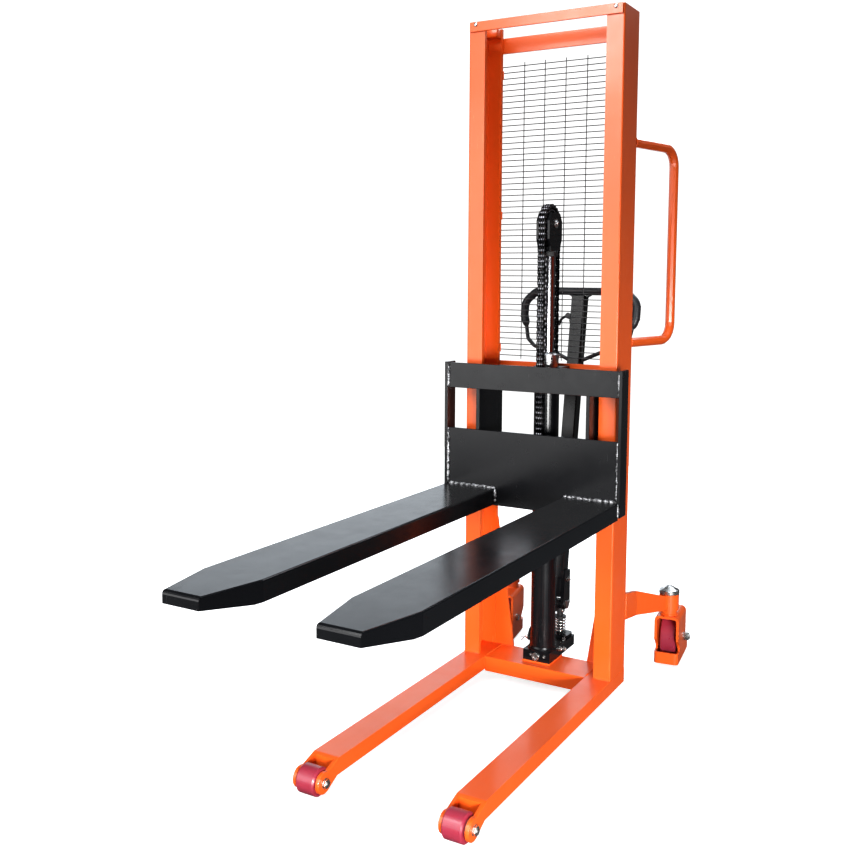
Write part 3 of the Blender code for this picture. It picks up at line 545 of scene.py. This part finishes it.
def orange_welds():
    """Painted beads where the mast, legs, gussets, arms and handle are welded."""
    top = BOX["leg_right"][1].z
    web, lip, back, gusset, behind = 0.188, 0.24, 0.122, 0.112, 0.1225
    # The channel's flanges on the leg, the leg's inner edge, the gusset's foot and slope, the caster arm's
    # two edges, and the ends of the crossmember and the rear tie.
    right = [(at(*start), at(*end)) for start, end in (
        ((web, 0, top), (lip, 0, top)),
        ((web, back, top), (lip, back, top)),
        ((0.163, 0.004, top), (0.163, gusset, top)),
        ((0.126, gusset, top), (0.186, gusset, top)),
        ((0.1865, 0.115, 0.085), (0.1865, 0.115, 0.48)),
        ((lip, behind, 0.226), (lip, behind, 0.3)),
        ((0.228, behind, 0.226), (0.228, behind, 0.3)),
        ((0.205, behind, 0.931), (0.205, behind, 0.98)),
        ((0.205, behind, 1.915), (0.205, behind, 1.959)),
    )]
    welds("frame_welds", right, 0.0022, "orange_paint", "root")
    handle_low, handle_high = BOX["grab_handle"]
    bar_r, ring_r, steps = 0.014, 0.0152, 40
    bm = bmesh.new()
    for z in (handle_low.z + bar_r, handle_high.z - bar_r):
        centre = at(0.2262, 0.1228, z)
        ring = [centre + Vector((ring_r * math.cos(t), 0, ring_r * math.sin(t)))
                for t in (math.tau * i / steps for i in range(steps + 1))]
        tube(bm, ring, lambda share: 0.0021 + 0.0006 * abs(math.sin(share * 60)), sides=8)
    piece("handle_welds", bm, "orange_paint", "root", sharp=60)


# ---- chain

CHAIN_PITCH = 0.015875


def plate_outline(pitch, radius, waist):
    """A chain plate: two round ends and a waist, with its length along local Y."""
    half = pitch / 2
    turns = [math.radians(-40 + 260 * i / 9) for i in range(10)]
    ends = [Vector((radius * math.cos(turn), half + radius * math.sin(turn))) for turn in turns]
    neck = [Vector((-waist, 0))]
    return ends + neck + [Vector((-x, -y)) for x, y in ends] + [-neck[0]]


def chain_link(plates, pins, matrix, outer):
    """One link about local X, from pin to pin along local Y. Plates and bright parts go to two bmeshes.

    It has a plate on each side and two between them, which lie beside its neighbours'.
    """
    across = Matrix.Rotation(math.radians(90), 4, "Y")
    plate_in, thick = (0.0096, 0.0014) if outer else (0.008, 0.0014)
    outline = plate_outline(CHAIN_PITCH, 0.0068, 0.0052)
    shift = 0.0009 if outer else -0.0009
    for low in (plate_in, -plate_in - thick, 0.0028 + shift, -0.0042 + shift):
        prism(plates, outline, low, low + thick, matrix @ across)
    pin_end, pin_r = 0.0116, 0.0024
    bush_end, bush_bore, bush_r = 0.0077, 0.0026, 0.0051
    for end in (-0.5, 0.5):
        place = matrix @ Matrix.Translation((0, end * CHAIN_PITCH, 0)) @ across
        if outer:
            lathe(pins, [(-pin_end, 0), (-pin_end, pin_r), (pin_end, pin_r), (pin_end, 0)], place, 12)
        else:
            lathe(pins, [(-bush_end, bush_bore), (-bush_end, bush_r), (bush_end, bush_r),
                         (bush_end, bush_bore)], place, 16)


def constant_blend(made):
    """Bakes a piece's placement into its mesh. It is blended with nothing and rides on no body."""
    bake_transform(made)


def strand(name, anchor, bodies, shown, most, travel):
    """Links from an anchor up to the wheel. Spare ones lie inside others; those on the second body come out as the
    strand grows, and those between the bodies stay fixed in place.

    shown links make the strand at rest, and most at its longest, when its far end has moved by travel. A
    link and its spare differ by an even number, so that outer lies on outer.
    """
    groups = {}
    for k in range(most):
        hidden = 2 * round((k - k * shown / most) / 2)
        groups.setdefault(hidden, []).append(k - hidden)
    first, second = bodies
    upright = Matrix.Rotation(math.radians(90), 4, "X")
    for hidden, places in groups.items():
        weight = min(1.0, hidden * CHAIN_PITCH / travel)
        plates, pins = bmesh.new(), bmesh.new()
        for j in places:
            centre = anchor + Vector((0, 0, (j + 0.5) * CHAIN_PITCH))
            chain_link(plates, pins, Matrix.Translation(centre) @ upright, j % 2 == 0)
        for label, bm, slot in (("plates", plates, "chain_steel"), ("pins", pins, "chain_pin")):
            made = piece(f"{name}_{label}_{hidden}", bm, slot)
            if weight == 0:
                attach(made, first)
            elif weight == 1:
                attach(made, second)
            else:
                constant_blend(made)
            if hidden == 0 and label == "plates":
                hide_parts(name)


def chain():
    """The two strands and the links round the wheel. How many show comes from the frame's own boxes."""
    joint = next(j for j in frame["joints"] if j["name"] == "ram_lift")
    lowest, highest = joint["range_m"]
    wheel = middle("chain_wheel")
    pitch_r = wheel.y - middle("chain_front").y
    front_low, rear_low = BOX["chain_front"][0].z, BOX["chain_rear"][0].z
    front_shown = round((wheel.z - front_low) / CHAIN_PITCH)
    rear_shown = round((wheel.z - rear_low) / CHAIN_PITCH)
    strand("chain_front", Vector((0, wheel.y - pitch_r, front_low)), ("carriage", "ram"), front_shown,
           front_shown + round(-lowest / CHAIN_PITCH), -lowest)
    strand("chain_rear", Vector((0, wheel.y + pitch_r, rear_low)), ("root", "ram"), rear_shown,
           rear_shown + round(highest / CHAIN_PITCH), highest)
    plates, pins = bmesh.new(), bmesh.new()
    wrapped = 10
    for i in range(wrapped):
        turn = math.pi * (i + 0.5) / wrapped
        centre = wheel + Vector((0, -math.cos(turn), math.sin(turn))) * pitch_r
        matrix = Matrix.Translation(centre) @ Matrix.Rotation(math.pi / 2 - turn, 4, "X")
        chain_link(plates, pins, matrix, (i + front_shown) % 2 == 0)
    made = piece("chain_wrap_plates", plates, "chain_steel", "ram")
    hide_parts("chain_wrap")
    piece("chain_wrap_pins", pins, "chain_pin", "ram")


def chain_wheel():
    """A wheel with a notched rim just inside the chain's plates, a dished web, and a bright steel line at the rim
    as a painted highlight.
    """
    wheel = middle("chain_wheel")
    pitch_r = wheel.y - middle("chain_front").y
    teeth, root_r, tip_r = 20, pitch_r - 0.0098, pitch_r - 0.0071
    flank_r = root_r + 0.0012
    outline = []
    for i in range(teeth):
        for share, r in ((-0.5, root_r), (-0.3, flank_r), (-0.13, tip_r), (0.13, tip_r), (0.3, flank_r)):
            turn = math.tau * (i + share) / teeth
            outline.append((r * math.cos(turn), r * math.sin(turn)))
    matrix = aimed(wheel, (1, 0, 0))
    bm = bmesh.new()
    prism(bm, outline, -0.005, 0.005, matrix)
    made = piece("sprocket_teeth", bm, "spring_steel", "chain_wheel")
    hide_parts("chain_wheel")
    # Half of the body's section, from the bore over the hub and the thin web to the rim.
    half = [(0.0095, 0.0105), (0.0095, 0.017), (0.006, 0.019), (0.006, 0.034), (0.0085, 0.037),
            (0.0085, 0.042)]
    body = [(-x, r) for x, r in half] + half[::-1]
    turned("sprocket_body", body, matrix, 64, "black_paint", "chain_wheel")
    # A thin bright steel line on each side of the rim paints the rim's highlight.
    line_in, line_out = 0.0388, 0.0421
    bm = bmesh.new()
    for side in (-1, 1):
        near, far = sorted((side * 0.0083, side * 0.0088))
        lathe(bm, [(near, line_in), (near, line_out), (far, line_out), (far, line_in)], matrix, 64)
    piece("sprocket_rim_highlight", bm, "chain_pin", "chain_wheel")


def ram_fittings():
    """The pulley pin's circlips and grease nipple, the rod's lock nut and wiper, and dark domes on the gland that
    paint the shade in its pin holes.
    """
    wheel = middle("chain_wheel")
    right = BOX["pulley_clevis"][1].x
    bm = bmesh.new()
    for side in (-1, 1):
        lathe(bm, [(0.0006, 0.0102), (0.0006, 0.0135), (0.002, 0.0135), (0.002, 0.0102)],
              aimed(wheel + Vector((side * right, 0, 0)), (side, 0, 0)), 28)
    domed(bm, wheel + Vector((BOX["pulley_pin"][1].x, 0, 0)), (1, 0, 0), 0.0042, 0.003)
    piece("pulley_clips", bm, "pin_steel", "ram")
    centre = Vector((0, wheel.y, BOX["ram_rod"][1].z - 0.016))
    flats, thick = 0.046, 0.0155
    matrix = Matrix.Translation(centre) @ Matrix.Rotation(math.radians(30), 4, "Z")
    bm = bmesh.new()
    prism(bm, hexagon(flats), 0, thick, matrix)
    bmesh.ops.bevel(bm, geom=list(bm.edges), offset=0.001, segments=1, affect="EDGES")
    piece("rod_lock_nut", bm, "soot", "ram")
    gland_low, gland_high = BOX["gland_nut"]
    turned("rod_wiper", [(0, 0.0206), (0, 0.025), (0.0022, 0.0245), (0.004, 0.0222), (0.004, 0.0206)],
           Matrix.Translation((0, wheel.y, gland_high.z)), 40, "soot", "root")
    # Dark domes on the gland paint the shade inside its pin holes.
    holes, gland_r, rise = 6, 0.0313, 0.028
    bm = bmesh.new()
    for i in range(holes):
        turn = math.tau * i / holes + 0.3
        out = Vector((math.cos(turn), math.sin(turn), 0))
        domed(bm, Vector((0, wheel.y, gland_low.z + rise)) + out * gland_r, out, 0.0036, 0.0014)
    piece("gland_pin_hole_shade", bm, "soot", "root")


def chain_anchors():
    """The nuts on the pin or bolts that hold each strand's end."""
    front_low, front_high = BOX["chain_anchor_front"]
    y = middle("chain_front").y
    bm = bmesh.new()
    for x, side in ((front_low.x, -1), (front_high.x, 1)):
        nut(bm, Vector((x, y, front_high.z - 0.014)), (side, 0, 0), flats=0.012, thick=0.005, stud=0.002)
    piece("front_anchor_pin", bm, "zinc_steel", "carriage")
    clamp_low, clamp_high = BOX["cylinder_clamp"]
    y = middle("chain_rear").y
    bm = bmesh.new()
    for side in (-1, 1):
        lug = Vector((side * 0.012, y, clamp_high.z - 0.013))
        nut(bm, lug, (side, 0, 0), flats=0.011, thick=0.004, stud=0.002)
        clamp = Vector((side * 0.04, clamp_low.y, clamp_low.z + 0.015))
        nut(bm, clamp, (0, -1, 0), flats=0.01, thick=0.005)
    piece("rear_anchor_bolts", bm, "zinc_steel", "root")


# ---- pump

def pump_fittings():
    """The cylinder's foot ring, the block's plugs and nuts, the plunger's casting, and the lug's welds."""
    block_low, block_high = BOX["pump_block"]
    foot, centre = BOX["cylinder_tube"][0].z, middle("cylinder_tube")
    ring = [(0, 0.0378), (0, 0.0445), (0.003, 0.0445), (0.005, 0.0425), (0.005, 0.0395), (0.01, 0.0378)]
    matrix = Matrix.Translation((centre.x, centre.y, foot))
    turned("cylinder_foot_ring", ring, matrix, 48, "black_paint", "root")
    front, right = block_low.y, block_high.x
    ahead = (0, -1, 0)
    bm = bmesh.new()
    lathe(bm, [(0, 0), (0, 0.012), (0.004, 0.012), (0.0052, 0.0108), (0.0052, 0.0066), (0.0026, 0.006),
               (0.0026, 0)], aimed(Vector((-0.0053, front, 0.0945)), ahead), 32)
    head, socket = 0.003, 0.0015
    for x, z, radius in ((-0.0213, 0.0995, 0.0035), (0.023, 0.099, 0.0045)):
        socket_r = radius * 0.5
        lathe(bm, [(0, 0), (0, radius), (head, radius), (head, socket_r), (socket, socket_r), (socket, 0)],
              aimed(Vector((x, front, z)), ahead), 20)
    for y, z in ((0.0965, 0.103), (0.1285, 0.093)):
        nut(bm, Vector((right, at(0, y, 0).y, z)), (1, 0, 0), flats=0.012, thick=0.006, stud=0.002)
    for x, y in ((-0.038, 0.15), (0.031, 0.15), (-0.038, 0.2)):
        nut(bm, at(x, y, 0.112), (0, 0, 1), flats=0.01, thick=0.005)
    piece("pump_plugs", bm, "pin_steel", "root")
    low, high = at(-0.03, 0.16, 0.1122), at(0.036, 0.2145, 0.1215)
    corners = [Vector(xy) for xy in ((low.x, low.y), (high.x, low.y), (high.x, high.y), (low.x, high.y))]
    bm = bmesh.new()
    prism(bm, rounded(corners, 0.012, 5, closed=True), 0, high.z - low.z, Matrix.Translation((0, 0, low.z)))
    for side in (-1, 1):
        place = Vector((middle("pump_body").x + side * 0.0255, low.y + 0.0085, high.z))
        nut(bm, place, (0, 0, 1), flats=0.007, thick=0.003)
    piece("pump_casting", bm, "black_paint", "root")
    lug_low, lug_high = BOX["pump_bracket"]
    x, y = 0.0142, lug_low.y - 0.001
    seam = ((x, y, lug_low.z + 0.002), (x, y, lug_high.z - 0.002))
    welds("bracket_welds", [seam], 0.0028, "black_paint", "root")


def pump_spring():
    """The return spring, with closed ends. It is baked in place and does not shorten."""
    low, high = (corner.z for corner in BOX["pump_spring"])
    centre = middle("pump_plunger")
    wire, coil, turns, per_turn, closed = 0.002, 0.0168, 4.8, 28, 0.6
    open_turns = turns - 2 * closed
    rise = (high - low - 2 * wire) * 0.84
    path = []
    for i in range(int(turns * per_turn) + 1):
        along = i / per_turn
        turn = math.tau * along
        share = min(1.0, max(0.0, (along - closed) / open_turns))
        ends = max(0.0, along - turns + closed) - max(0.0, closed - along)
        z = low + wire + rise * (0.095 + share) + ends * rise * 0.1
        path.append(Vector((centre.x + coil * math.cos(turn), centre.y + coil * math.sin(turn), z)))
    bm = bmesh.new()
    tube(bm, path, wire, sides=10)
    made = piece("return_spring", bm, "pin_steel", sharp=60)
    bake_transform(made)
    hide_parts("pump_spring")


def plunger_fittings():
    """The plunger's dark head over the spring cap, with a bright pin end on its right."""
    centre, top = middle("pump_plunger"), BOX["pump_plunger"][1].z
    head = [(0, 0.0101), (0, 0.013), (0.0015, 0.0142), (0.022, 0.0142), (0.025, 0.012), (0.025, 0.0101)]
    matrix = Matrix.Translation((centre.x, centre.y, top - 0.026))
    turned("plunger_head", head, matrix, 28, "soot", "plunger")
    pin = aimed(Vector((centre.x + 0.0128, centre.y - 0.006, top - 0.02)), (1, -0.45, 0))
    turned("plunger_pin", [(0, 0), (0, 0.0058), (0.0022, 0.0058), (0.003, 0.005), (0.003, 0)], pin, 20,
           "pin_steel", "plunger")


def release_fittings():
    """The lowering lever's pivot nut, and the split cotter that shows beside it."""
    pivot = at(0, 0.09, 0.125)
    left = BOX["release_lever"][0].x
    bm = bmesh.new()
    nut(bm, Vector((left, pivot.y, pivot.z)), (-1, 0, 0), flats=0.012, thick=0.005, stud=0.003)
    piece("release_nut", bm, "pin_steel", "release_lever")
    bm = bmesh.new()
    # Points of a prong: how far out, forwards, down and apart from the other.
    prong = ((0.009, 0, 0, 0), (0.014, 0, 0.004, 0), (0.021, 0.001, 0.009, 0.004),
             (0.024, 0.001, 0.01, 0.006))
    for rise in (-1, 1):
        points = [Vector((left - out, pivot.y - front, pivot.z - drop - rise * apart))
                  for out, front, drop, apart in prong]
        tube(bm, smooth_path(points, 5), 0.0011, sides=8)
    piece("release_cotter", bm, "spring_steel", "release_lever", sharp=60)


# ---- tiller

TILLER_PIVOT = at(0, 0.165, 0.222)
TILLER_LEAN = math.radians(8.66)
TILLER = Matrix.Translation(TILLER_PIVOT) @ Matrix.Rotation(-TILLER_LEAN, 4, "X")
TILLER_ALONG = TILLER.to_3x3() @ Vector((0, 0, 1))


def handle_loop():
    """The operator's loop: rubber-covered bar and grips, and the thin stays that run back to the bar."""
    grip_x, grip_r, bar_r, top = 0.1885, 0.013, 0.0122, 0.9852
    half = [(0.15, top), (grip_x, 0.95), (grip_x, 0.905), (0.1785, 0.872)]
    outline = half[::-1] + [(-x, z) for x, z in half]
    path = dense(rounded([TILLER @ Vector((x, 0, z)) for x, z in outline], 0.04, 10), 0.004)
    grip_share, end_share = 0.32, 0.03

    def swell(share):
        ends = min(share, 1 - share)
        bar = bar_r if ends > grip_share else grip_r
        return bar if ends > end_share else grip_r * (0.62 + 0.38 * math.sin(math.pi / 2 * ends / end_share))

    bm = bmesh.new()
    tube(bm, path, swell, sides=20)
    for side in (-1, 1):
        stay = [(0.181, 0.884), (0.17, 0.83), (0.145, 0.806), (0.08, 0.792), (0.0215, 0.766)]
        line = rounded([TILLER @ Vector((side * x, 0, z)) for x, z in stay], 0.02, 6)
        tube(bm, dense(line, 0.006), 0.0062, sides=14)
    made = piece("handle_grips", bm, "grip_rubber", "tiller", sharp=60)
    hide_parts("handle_loop")
    rib = [(-0.0016, 0.0128), (0, 0.0137), (0.0016, 0.0128), (0.0016, 0.01), (-0.0016, 0.01)]
    bm = bmesh.new()
    for side in (-1, 1):
        for z in (0.9, 0.908, 0.916, 0.924, 0.932, 0.94):
            lathe(bm, rib, aimed(TILLER @ Vector((side * grip_x, 0, z)), TILLER_ALONG), 24)
    piece("grip_ribs", bm, "grip_rubber", "tiller", sharp=60)


def bar_fillets():
    """The fillets between the tiller's bar and the loop's top bar, each bounded by a quarter circle."""
    bar_half, bar_top, radius, overlap = 0.0215, 0.9715, 0.016, 0.001
    bm = bmesh.new()
    for side in (-1, 1):
        x, z = side * bar_half, bar_top
        curve = [
            (x + side * (radius - radius * math.sin(a)), z - radius * (1 - math.cos(a)))
            for a in (math.radians(18 * i) for i in range(1, 6))
        ]
        outline = [(x - side * overlap, z + overlap), (x + side * radius, z + overlap), *curve,
                   (x - side * overlap, z - radius)]
        prism(bm, outline, -0.008, 0.008, TILLER @ Matrix.Rotation(math.radians(90), 4, "X"))
    piece("bar_fillets", bm, "black_paint", "tiller")


def control_link():
    """The rod from the hand lever down the tiller's left side, and the wire loops that guide it."""
    rod_x, rod_y = -0.025, 0.012
    rail = [TILLER @ Vector(point) for point in (
        (-0.034, 0.004, 0.898), (-0.027, 0.008, 0.87), (rod_x, 0.01, 0.84), (rod_x, rod_y, 0.11),
        (-0.032, 0.014, 0.085))]
    bm = bmesh.new()
    tube(bm, dense(rounded(rail, 0.03, 5), 0.03), 0.0018, sides=10)
    piece("control_link", bm, "pin_steel", "tiller", sharp=60)
    loop_r, steps = 0.0028, 16
    back = TILLER.to_3x3() @ Vector((0, 1, 0))
    bm = bmesh.new()
    for z in (0.2, 0.42, 0.64):
        low = TILLER @ Vector((0, 0, z))
        ring = [low + Vector((rod_x + loop_r * math.cos(t), 0, 0)) + back * (rod_y + loop_r * math.sin(t))
                for t in (math.tau * i / steps for i in range(steps + 1))]
        tube(bm, ring, 0.0009, sides=8)
    piece("link_guides", bm, "spring_steel", "tiller", sharp=60)


def tiller_foot():
    """The foot's nuts and roller heads, the pivot's nuts, the cheeks' welds and the block between them."""
    cheek_out = 0.028
    bm = bmesh.new()
    for side in (-1, 1):
        out = (side, 0, 0)
        nut(bm, TILLER @ Vector((side * cheek_out, 0.004, 0.078)), out, flats=0.013, thick=0.006, stud=0.002)
        domed(bm, TILLER @ Vector((side * cheek_out, 0.0267, 0.0041)), out, 0.0065, 0.003)
    piece("tiller_nuts", bm, "pin_steel", "tiller")
    pin_low, pin_high = BOX["tiller_pin"]
    bm = bmesh.new()
    for side, x in ((-1, pin_low.x), (1, pin_high.x)):
        lathe(bm, [(-0.0076, 0), (-0.0076, 0.0128), (-0.001, 0.0128), (0.0006, 0.0112), (0.0006, 0)],
              aimed(Vector((x, TILLER_PIVOT.y, TILLER_PIVOT.z)), (side, 0, 0)), 6)
    piece("pivot_nuts", bm, "zinc_steel", "root")
    cheek_x, half_deep = 0.0218, 0.0195
    seams = [((cheek_x, depth, 0.094), (cheek_x, depth, 0.107)) for depth in (-half_deep, half_deep)]
    welds("cheek_welds", seams, 0.0022, "black_paint", "tiller", TILLER)
    half_wide = 0.0157
    bm = bmesh.new()
    block(bm, (-half_wide, -half_deep, 0.0215), (half_wide, half_deep, 0.081), 0.002)
    bmesh.ops.transform(bm, matrix=TILLER, verts=bm.verts)
    piece("tiller_foot", bm, "black_paint", "tiller")


# ---- carriage and forks

def carriage_welds():
    """Bare beads at the side plates and the forks' heels, and behind, along the roller bars too."""
    upper, lower, cheek, fork = (BOX[name] for name in (
        "carriage_plate_upper", "carriage_plate_lower", "carriage_side_right", "fork_right"))
    inner, fork_in, fork_top = cheek[0].x, fork[0].x, fork[1].z
    face = upper[0].y
    x, y = inner - 0.0008, face - 0.0006
    heel_x, heel_y = fork_in - 0.0005, face - 0.001
    edge_x, edge_y = inner + 0.004, cheek[0].y - 0.0004
    seams = (
        ((x, y, upper[0].z + 0.002), (x, y, upper[1].z - 0.001)),
        ((x, y, fork_top + 0.004), (x, y, lower[1].z - 0.001)),
        ((fork_in - 0.001, heel_y, fork_top + 0.001), (inner - 0.002, heel_y, fork_top + 0.001)),
        ((heel_x, heel_y, fork_top - 0.002), (heel_x, heel_y, fork_top - 0.04)),
        ((edge_x, edge_y, fork_top - 0.002), (edge_x, edge_y, fork_top - 0.042)),
    )
    welds("carriage_welds", seams, 0.0046, "weld", "carriage")
    back = upper[1].y
    bar_x, bar_y = 0.169, back + 0.0008
    side_x, side_y = inner - 0.0005, back + 0.0006
    seams = (
        ((bar_x, bar_y, 0.914), (bar_x, bar_y, 0.962)),
        ((bar_x, bar_y, 0.616), (bar_x, bar_y, 0.782)),
        ((side_x, side_y, 0.911), (side_x, side_y, 0.982)),
        ((side_x, side_y, 0.61), (side_x, side_y, 0.785)),
    )
    welds("rear_welds", seams, 0.0026, "weld", "carriage")


def carriage_rollers():
    """The raised seals on both ends of the four mast rollers."""
    seal = [(-0.002, 0.0165), (-0.002, 0.03), (0.0004, 0.0295), (0.0004, 0.017)]
    for label in SIDES:
        for level in ("upper", "lower"):
            node = f"carriage_roller_{label}_{level}"
            low, high = BOX[node]
            centre = middle(node)
            bm = bmesh.new()
            for x, direction in ((low.x, -1), (high.x, 1)):
                lathe(bm, seal, aimed(Vector((x, centre.y, centre.z)), (direction, 0, 0)), 40)
            piece(f"roller_seals_{label}_{level}", bm, "soot", node)


# ---- wheels and casters

def load_rollers():
    """Bearings, through bolts with a nut at each end, and the washers beside the rollers."""
    bearing = [(-0.001, 0.0112), (-0.001, 0.0215), (0.0006, 0.0212), (0.0006, 0.0116)]
    washer = [(0, 0.0112), (0, 0.017), (0.0012, 0.017), (0.0012, 0.0112)]
    shaft_r = 0.0097
    for label in SIDES:
        node = "load_roller_" + label
        centre = middle(node)
        half = (BOX[node][1].x - BOX[node][0].x) / 2
        bm = bmesh.new()
        for direction in (-1, 1):
            lathe(bm, bearing, aimed(centre + Vector((direction * half, 0, 0)), (direction, 0, 0)), 36)
        piece("load_bearings_" + label, bm, "zinc_steel", node)
        low, high = BOX["roller_axle_" + label]
        left_end, right_end = low.x + 0.004 - centre.x, high.x - 0.004 - centre.x
        leg_low, leg_high = BOX["leg_" + label]
        bm = bmesh.new()
        lathe(bm, [(left_end, 0), (left_end, shaft_r), (right_end, shaft_r), (right_end, 0)],
              aimed(centre, (1, 0, 0)), 28)
        for direction, face in ((-1, leg_low.x), (1, leg_high.x)):
            place = Vector((face + direction * 0.0002, centre.y, centre.z))
            nut(bm, place, (direction, 0, 0), flats=0.021, thick=0.0072, stud=0.0022)
        made = piece("roller_bolt_" + label, bm, "pin_steel", "root")
        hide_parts("roller_axle_" + label)
        bm = bmesh.new()
        for direction in (-1, 1):
            x = centre.x + direction * (half + 0.001)
            lathe(bm, washer, aimed(Vector((x, centre.y, centre.z)), (direction, 0, 0)), 28)
        piece("load_washers_" + label, bm, "zinc_steel", "root")


def casters():
    """Wheel bearings, axle bolts with their nuts, kingpin caps, and the races between bracket and arm."""
    bearing = [(-0.002, 0.009), (-0.002, 0.0195), (0.0004, 0.019), (0.0004, 0.0094)]
    bolt = [(-0.046, 0), (-0.046, 0.0077), (0.059, 0.0077), (0.06, 0.0067), (0.06, 0)]
    cap = [(0, 0), (0, 0.031), (0.001, 0.0318), (0.0105, 0.0318), (0.0125, 0.03), (0.0135, 0.0255),
           (0.02, 0.016), (0.025, 0.005), (0.0255, 0)]
    wheel_half, cheek, race_bore, race_r = 0.0287, 0.0388, 0.0232, 0.0262
    for label in SIDES:
        body, wheel = "caster_" + label, "caster_wheel_" + label
        joint = next(j for j in frame["joints"] if j["name"] == "caster_roll_" + label)
        centre, axis = Vector(joint["pos_m"]), Vector(joint["axis"]).normalized()
        bm = bmesh.new()
        for direction in (-1, 1):
            lathe(bm, bearing, aimed(centre + axis * direction * wheel_half, axis * direction), 36)
        piece("caster_bearings_" + label, bm, "zinc_steel", wheel)
        bm = bmesh.new()
        lathe(bm, bolt, aimed(centre, axis), 28)
        nut(bm, centre + axis * cheek, axis, flats=0.022, thick=0.0165)
        nut(bm, centre - axis * cheek, -axis, flats=0.02, thick=0.0065)
        made = piece("caster_bolt_" + label, bm, "pin_steel", body)
        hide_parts("caster_axle_" + label)
        pin_low, pin_high = BOX["kingpin_" + label]
        pin = middle("kingpin_" + label)
        matrix = Matrix.Translation((pin.x, pin.y, pin_high.z - 0.0255))
        turned("kingpin_cap_" + label, cap, matrix, 48, "pin_steel", body)
        race_top = BOX["caster_arm_" + label][0].z - pin_low.z - 0.0012
        race = [(0, race_bore), (0, 0.0285), (0.003, 0.0285), (0.005, race_r), (race_top, race_r),
                (race_top, race_bore)]
        matrix = Matrix.Translation((pin.x, pin.y, pin_low.z))
        turned("swivel_race_" + label, race, matrix, 48, "orange_paint", body)


# ---- stage

def camera():
    """A long lens at the stacker's front right, a little above its carriage, looking slightly down."""
    pan, pitch, roll = math.radians(30.2), math.radians(5.53), math.radians(0.29)
    ahead = Vector((-math.sin(pan) * math.cos(pitch), math.cos(pan) * math.cos(pitch), -math.sin(pitch)))
    right = Vector((math.cos(pan), math.sin(pan), 0))
    up = right.cross(ahead)
    right, up = right * math.cos(roll) + up * math.sin(roll), up * math.cos(roll) - right * math.sin(roll)
    data = bpy.data.cameras.new("camera")
    data.sensor_fit = "HORIZONTAL"
    data.sensor_width = 36.0
    data.lens = 43.05
    data.shift_x = -0.0082
    data.shift_y = -0.0608
    data.clip_end = 100
    made = placed("camera", data)
    turn = Matrix((right, up, -ahead)).transposed()
    made.matrix_world = Matrix.Translation(at(1.2221, -2.7223, 1.2455)) @ turn.to_4x4()
    bpy.context.scene.camera = made


def area_light(name, place, target, size, power, beam=180, color=(1.0, 1.0, 1.0)):
    """A soft box at a place, turned to a target. Its beam is how wide its light spreads, in degrees."""
    data = bpy.data.lights.new(name, "AREA")
    data.shape = "RECTANGLE"
    data.size, data.size_y = size
    data.energy = power
    data.color = color
    data.spread = math.radians(beam)
    placed(name, data).matrix_world = aimed(Vector(place), Vector(place) - Vector(target))


def studio():
    """Soft boxes in a white room. The camera sees the room white; what it lights and mirrors is dimmer."""
    bm = bmesh.new()
    bmesh.ops.create_grid(bm, x_segments=4, y_segments=4, size=4)
    mesh = bpy.data.meshes.new("floor")
    bm.to_mesh(mesh)
    bm.free()
    mesh.materials.append(floor_white())
    floor = placed("floor", mesh)
    world = bpy.data.worlds.new("studio")
    world.use_nodes = True
    tree = world.node_tree
    background = tree.nodes["Background"]
    background.inputs["Color"].default_value = (1.0, 1.0, 1.0, 1.0)
    tree.links.new(seen_or_lit(tree, 1.0, 0.09), background.inputs["Strength"])
    bpy.context.scene.world = world
    area_light("key", (-0.8, -3.4, 3.4), (0, 0, 1.0), (2.0, 2.0), 138)
    area_light("front_left", (-2.6, -3.9, 1.25), (0, 0, 0.9), (3.8, 2.6), 88)
    area_light("front_right", (2.7, -2.7, 0.6), (0.15, 0.2, 0.0), (1.6, 0.9), 30, beam=60)
    cool = (0.86, 0.93, 1.0)
    area_light("back", (-2.2, 3.6, 1.6), (0, 0, 0.9), (4.0, 2.4), 38, color=cool)
    area_light("rear_high", (0.3, 3.4, 3.8), (0, 0.2, 0.7), (2.4, 1.6), 68, color=cool)
    area_light("top", (0.4, 0.2, 4.4), (0, 0, 0.5), (2.5, 2.5), 62, color=cool)
    settings = bpy.context.scene.view_settings
    settings.view_transform = "Standard"
    settings.look = "Medium High Contrast"


dress_frame()
camera()
studio()
mesh_guard()
mesh_clips()
mast_top()
orange_welds()
chain()
chain_wheel()
ram_fittings()
chain_anchors()
pump_fittings()
pump_spring()
plunger_fittings()
release_fittings()
handle_loop()
bar_fillets()
control_link()
tiller_foot()
carriage_welds()
carriage_rollers()
load_rollers()
casters()
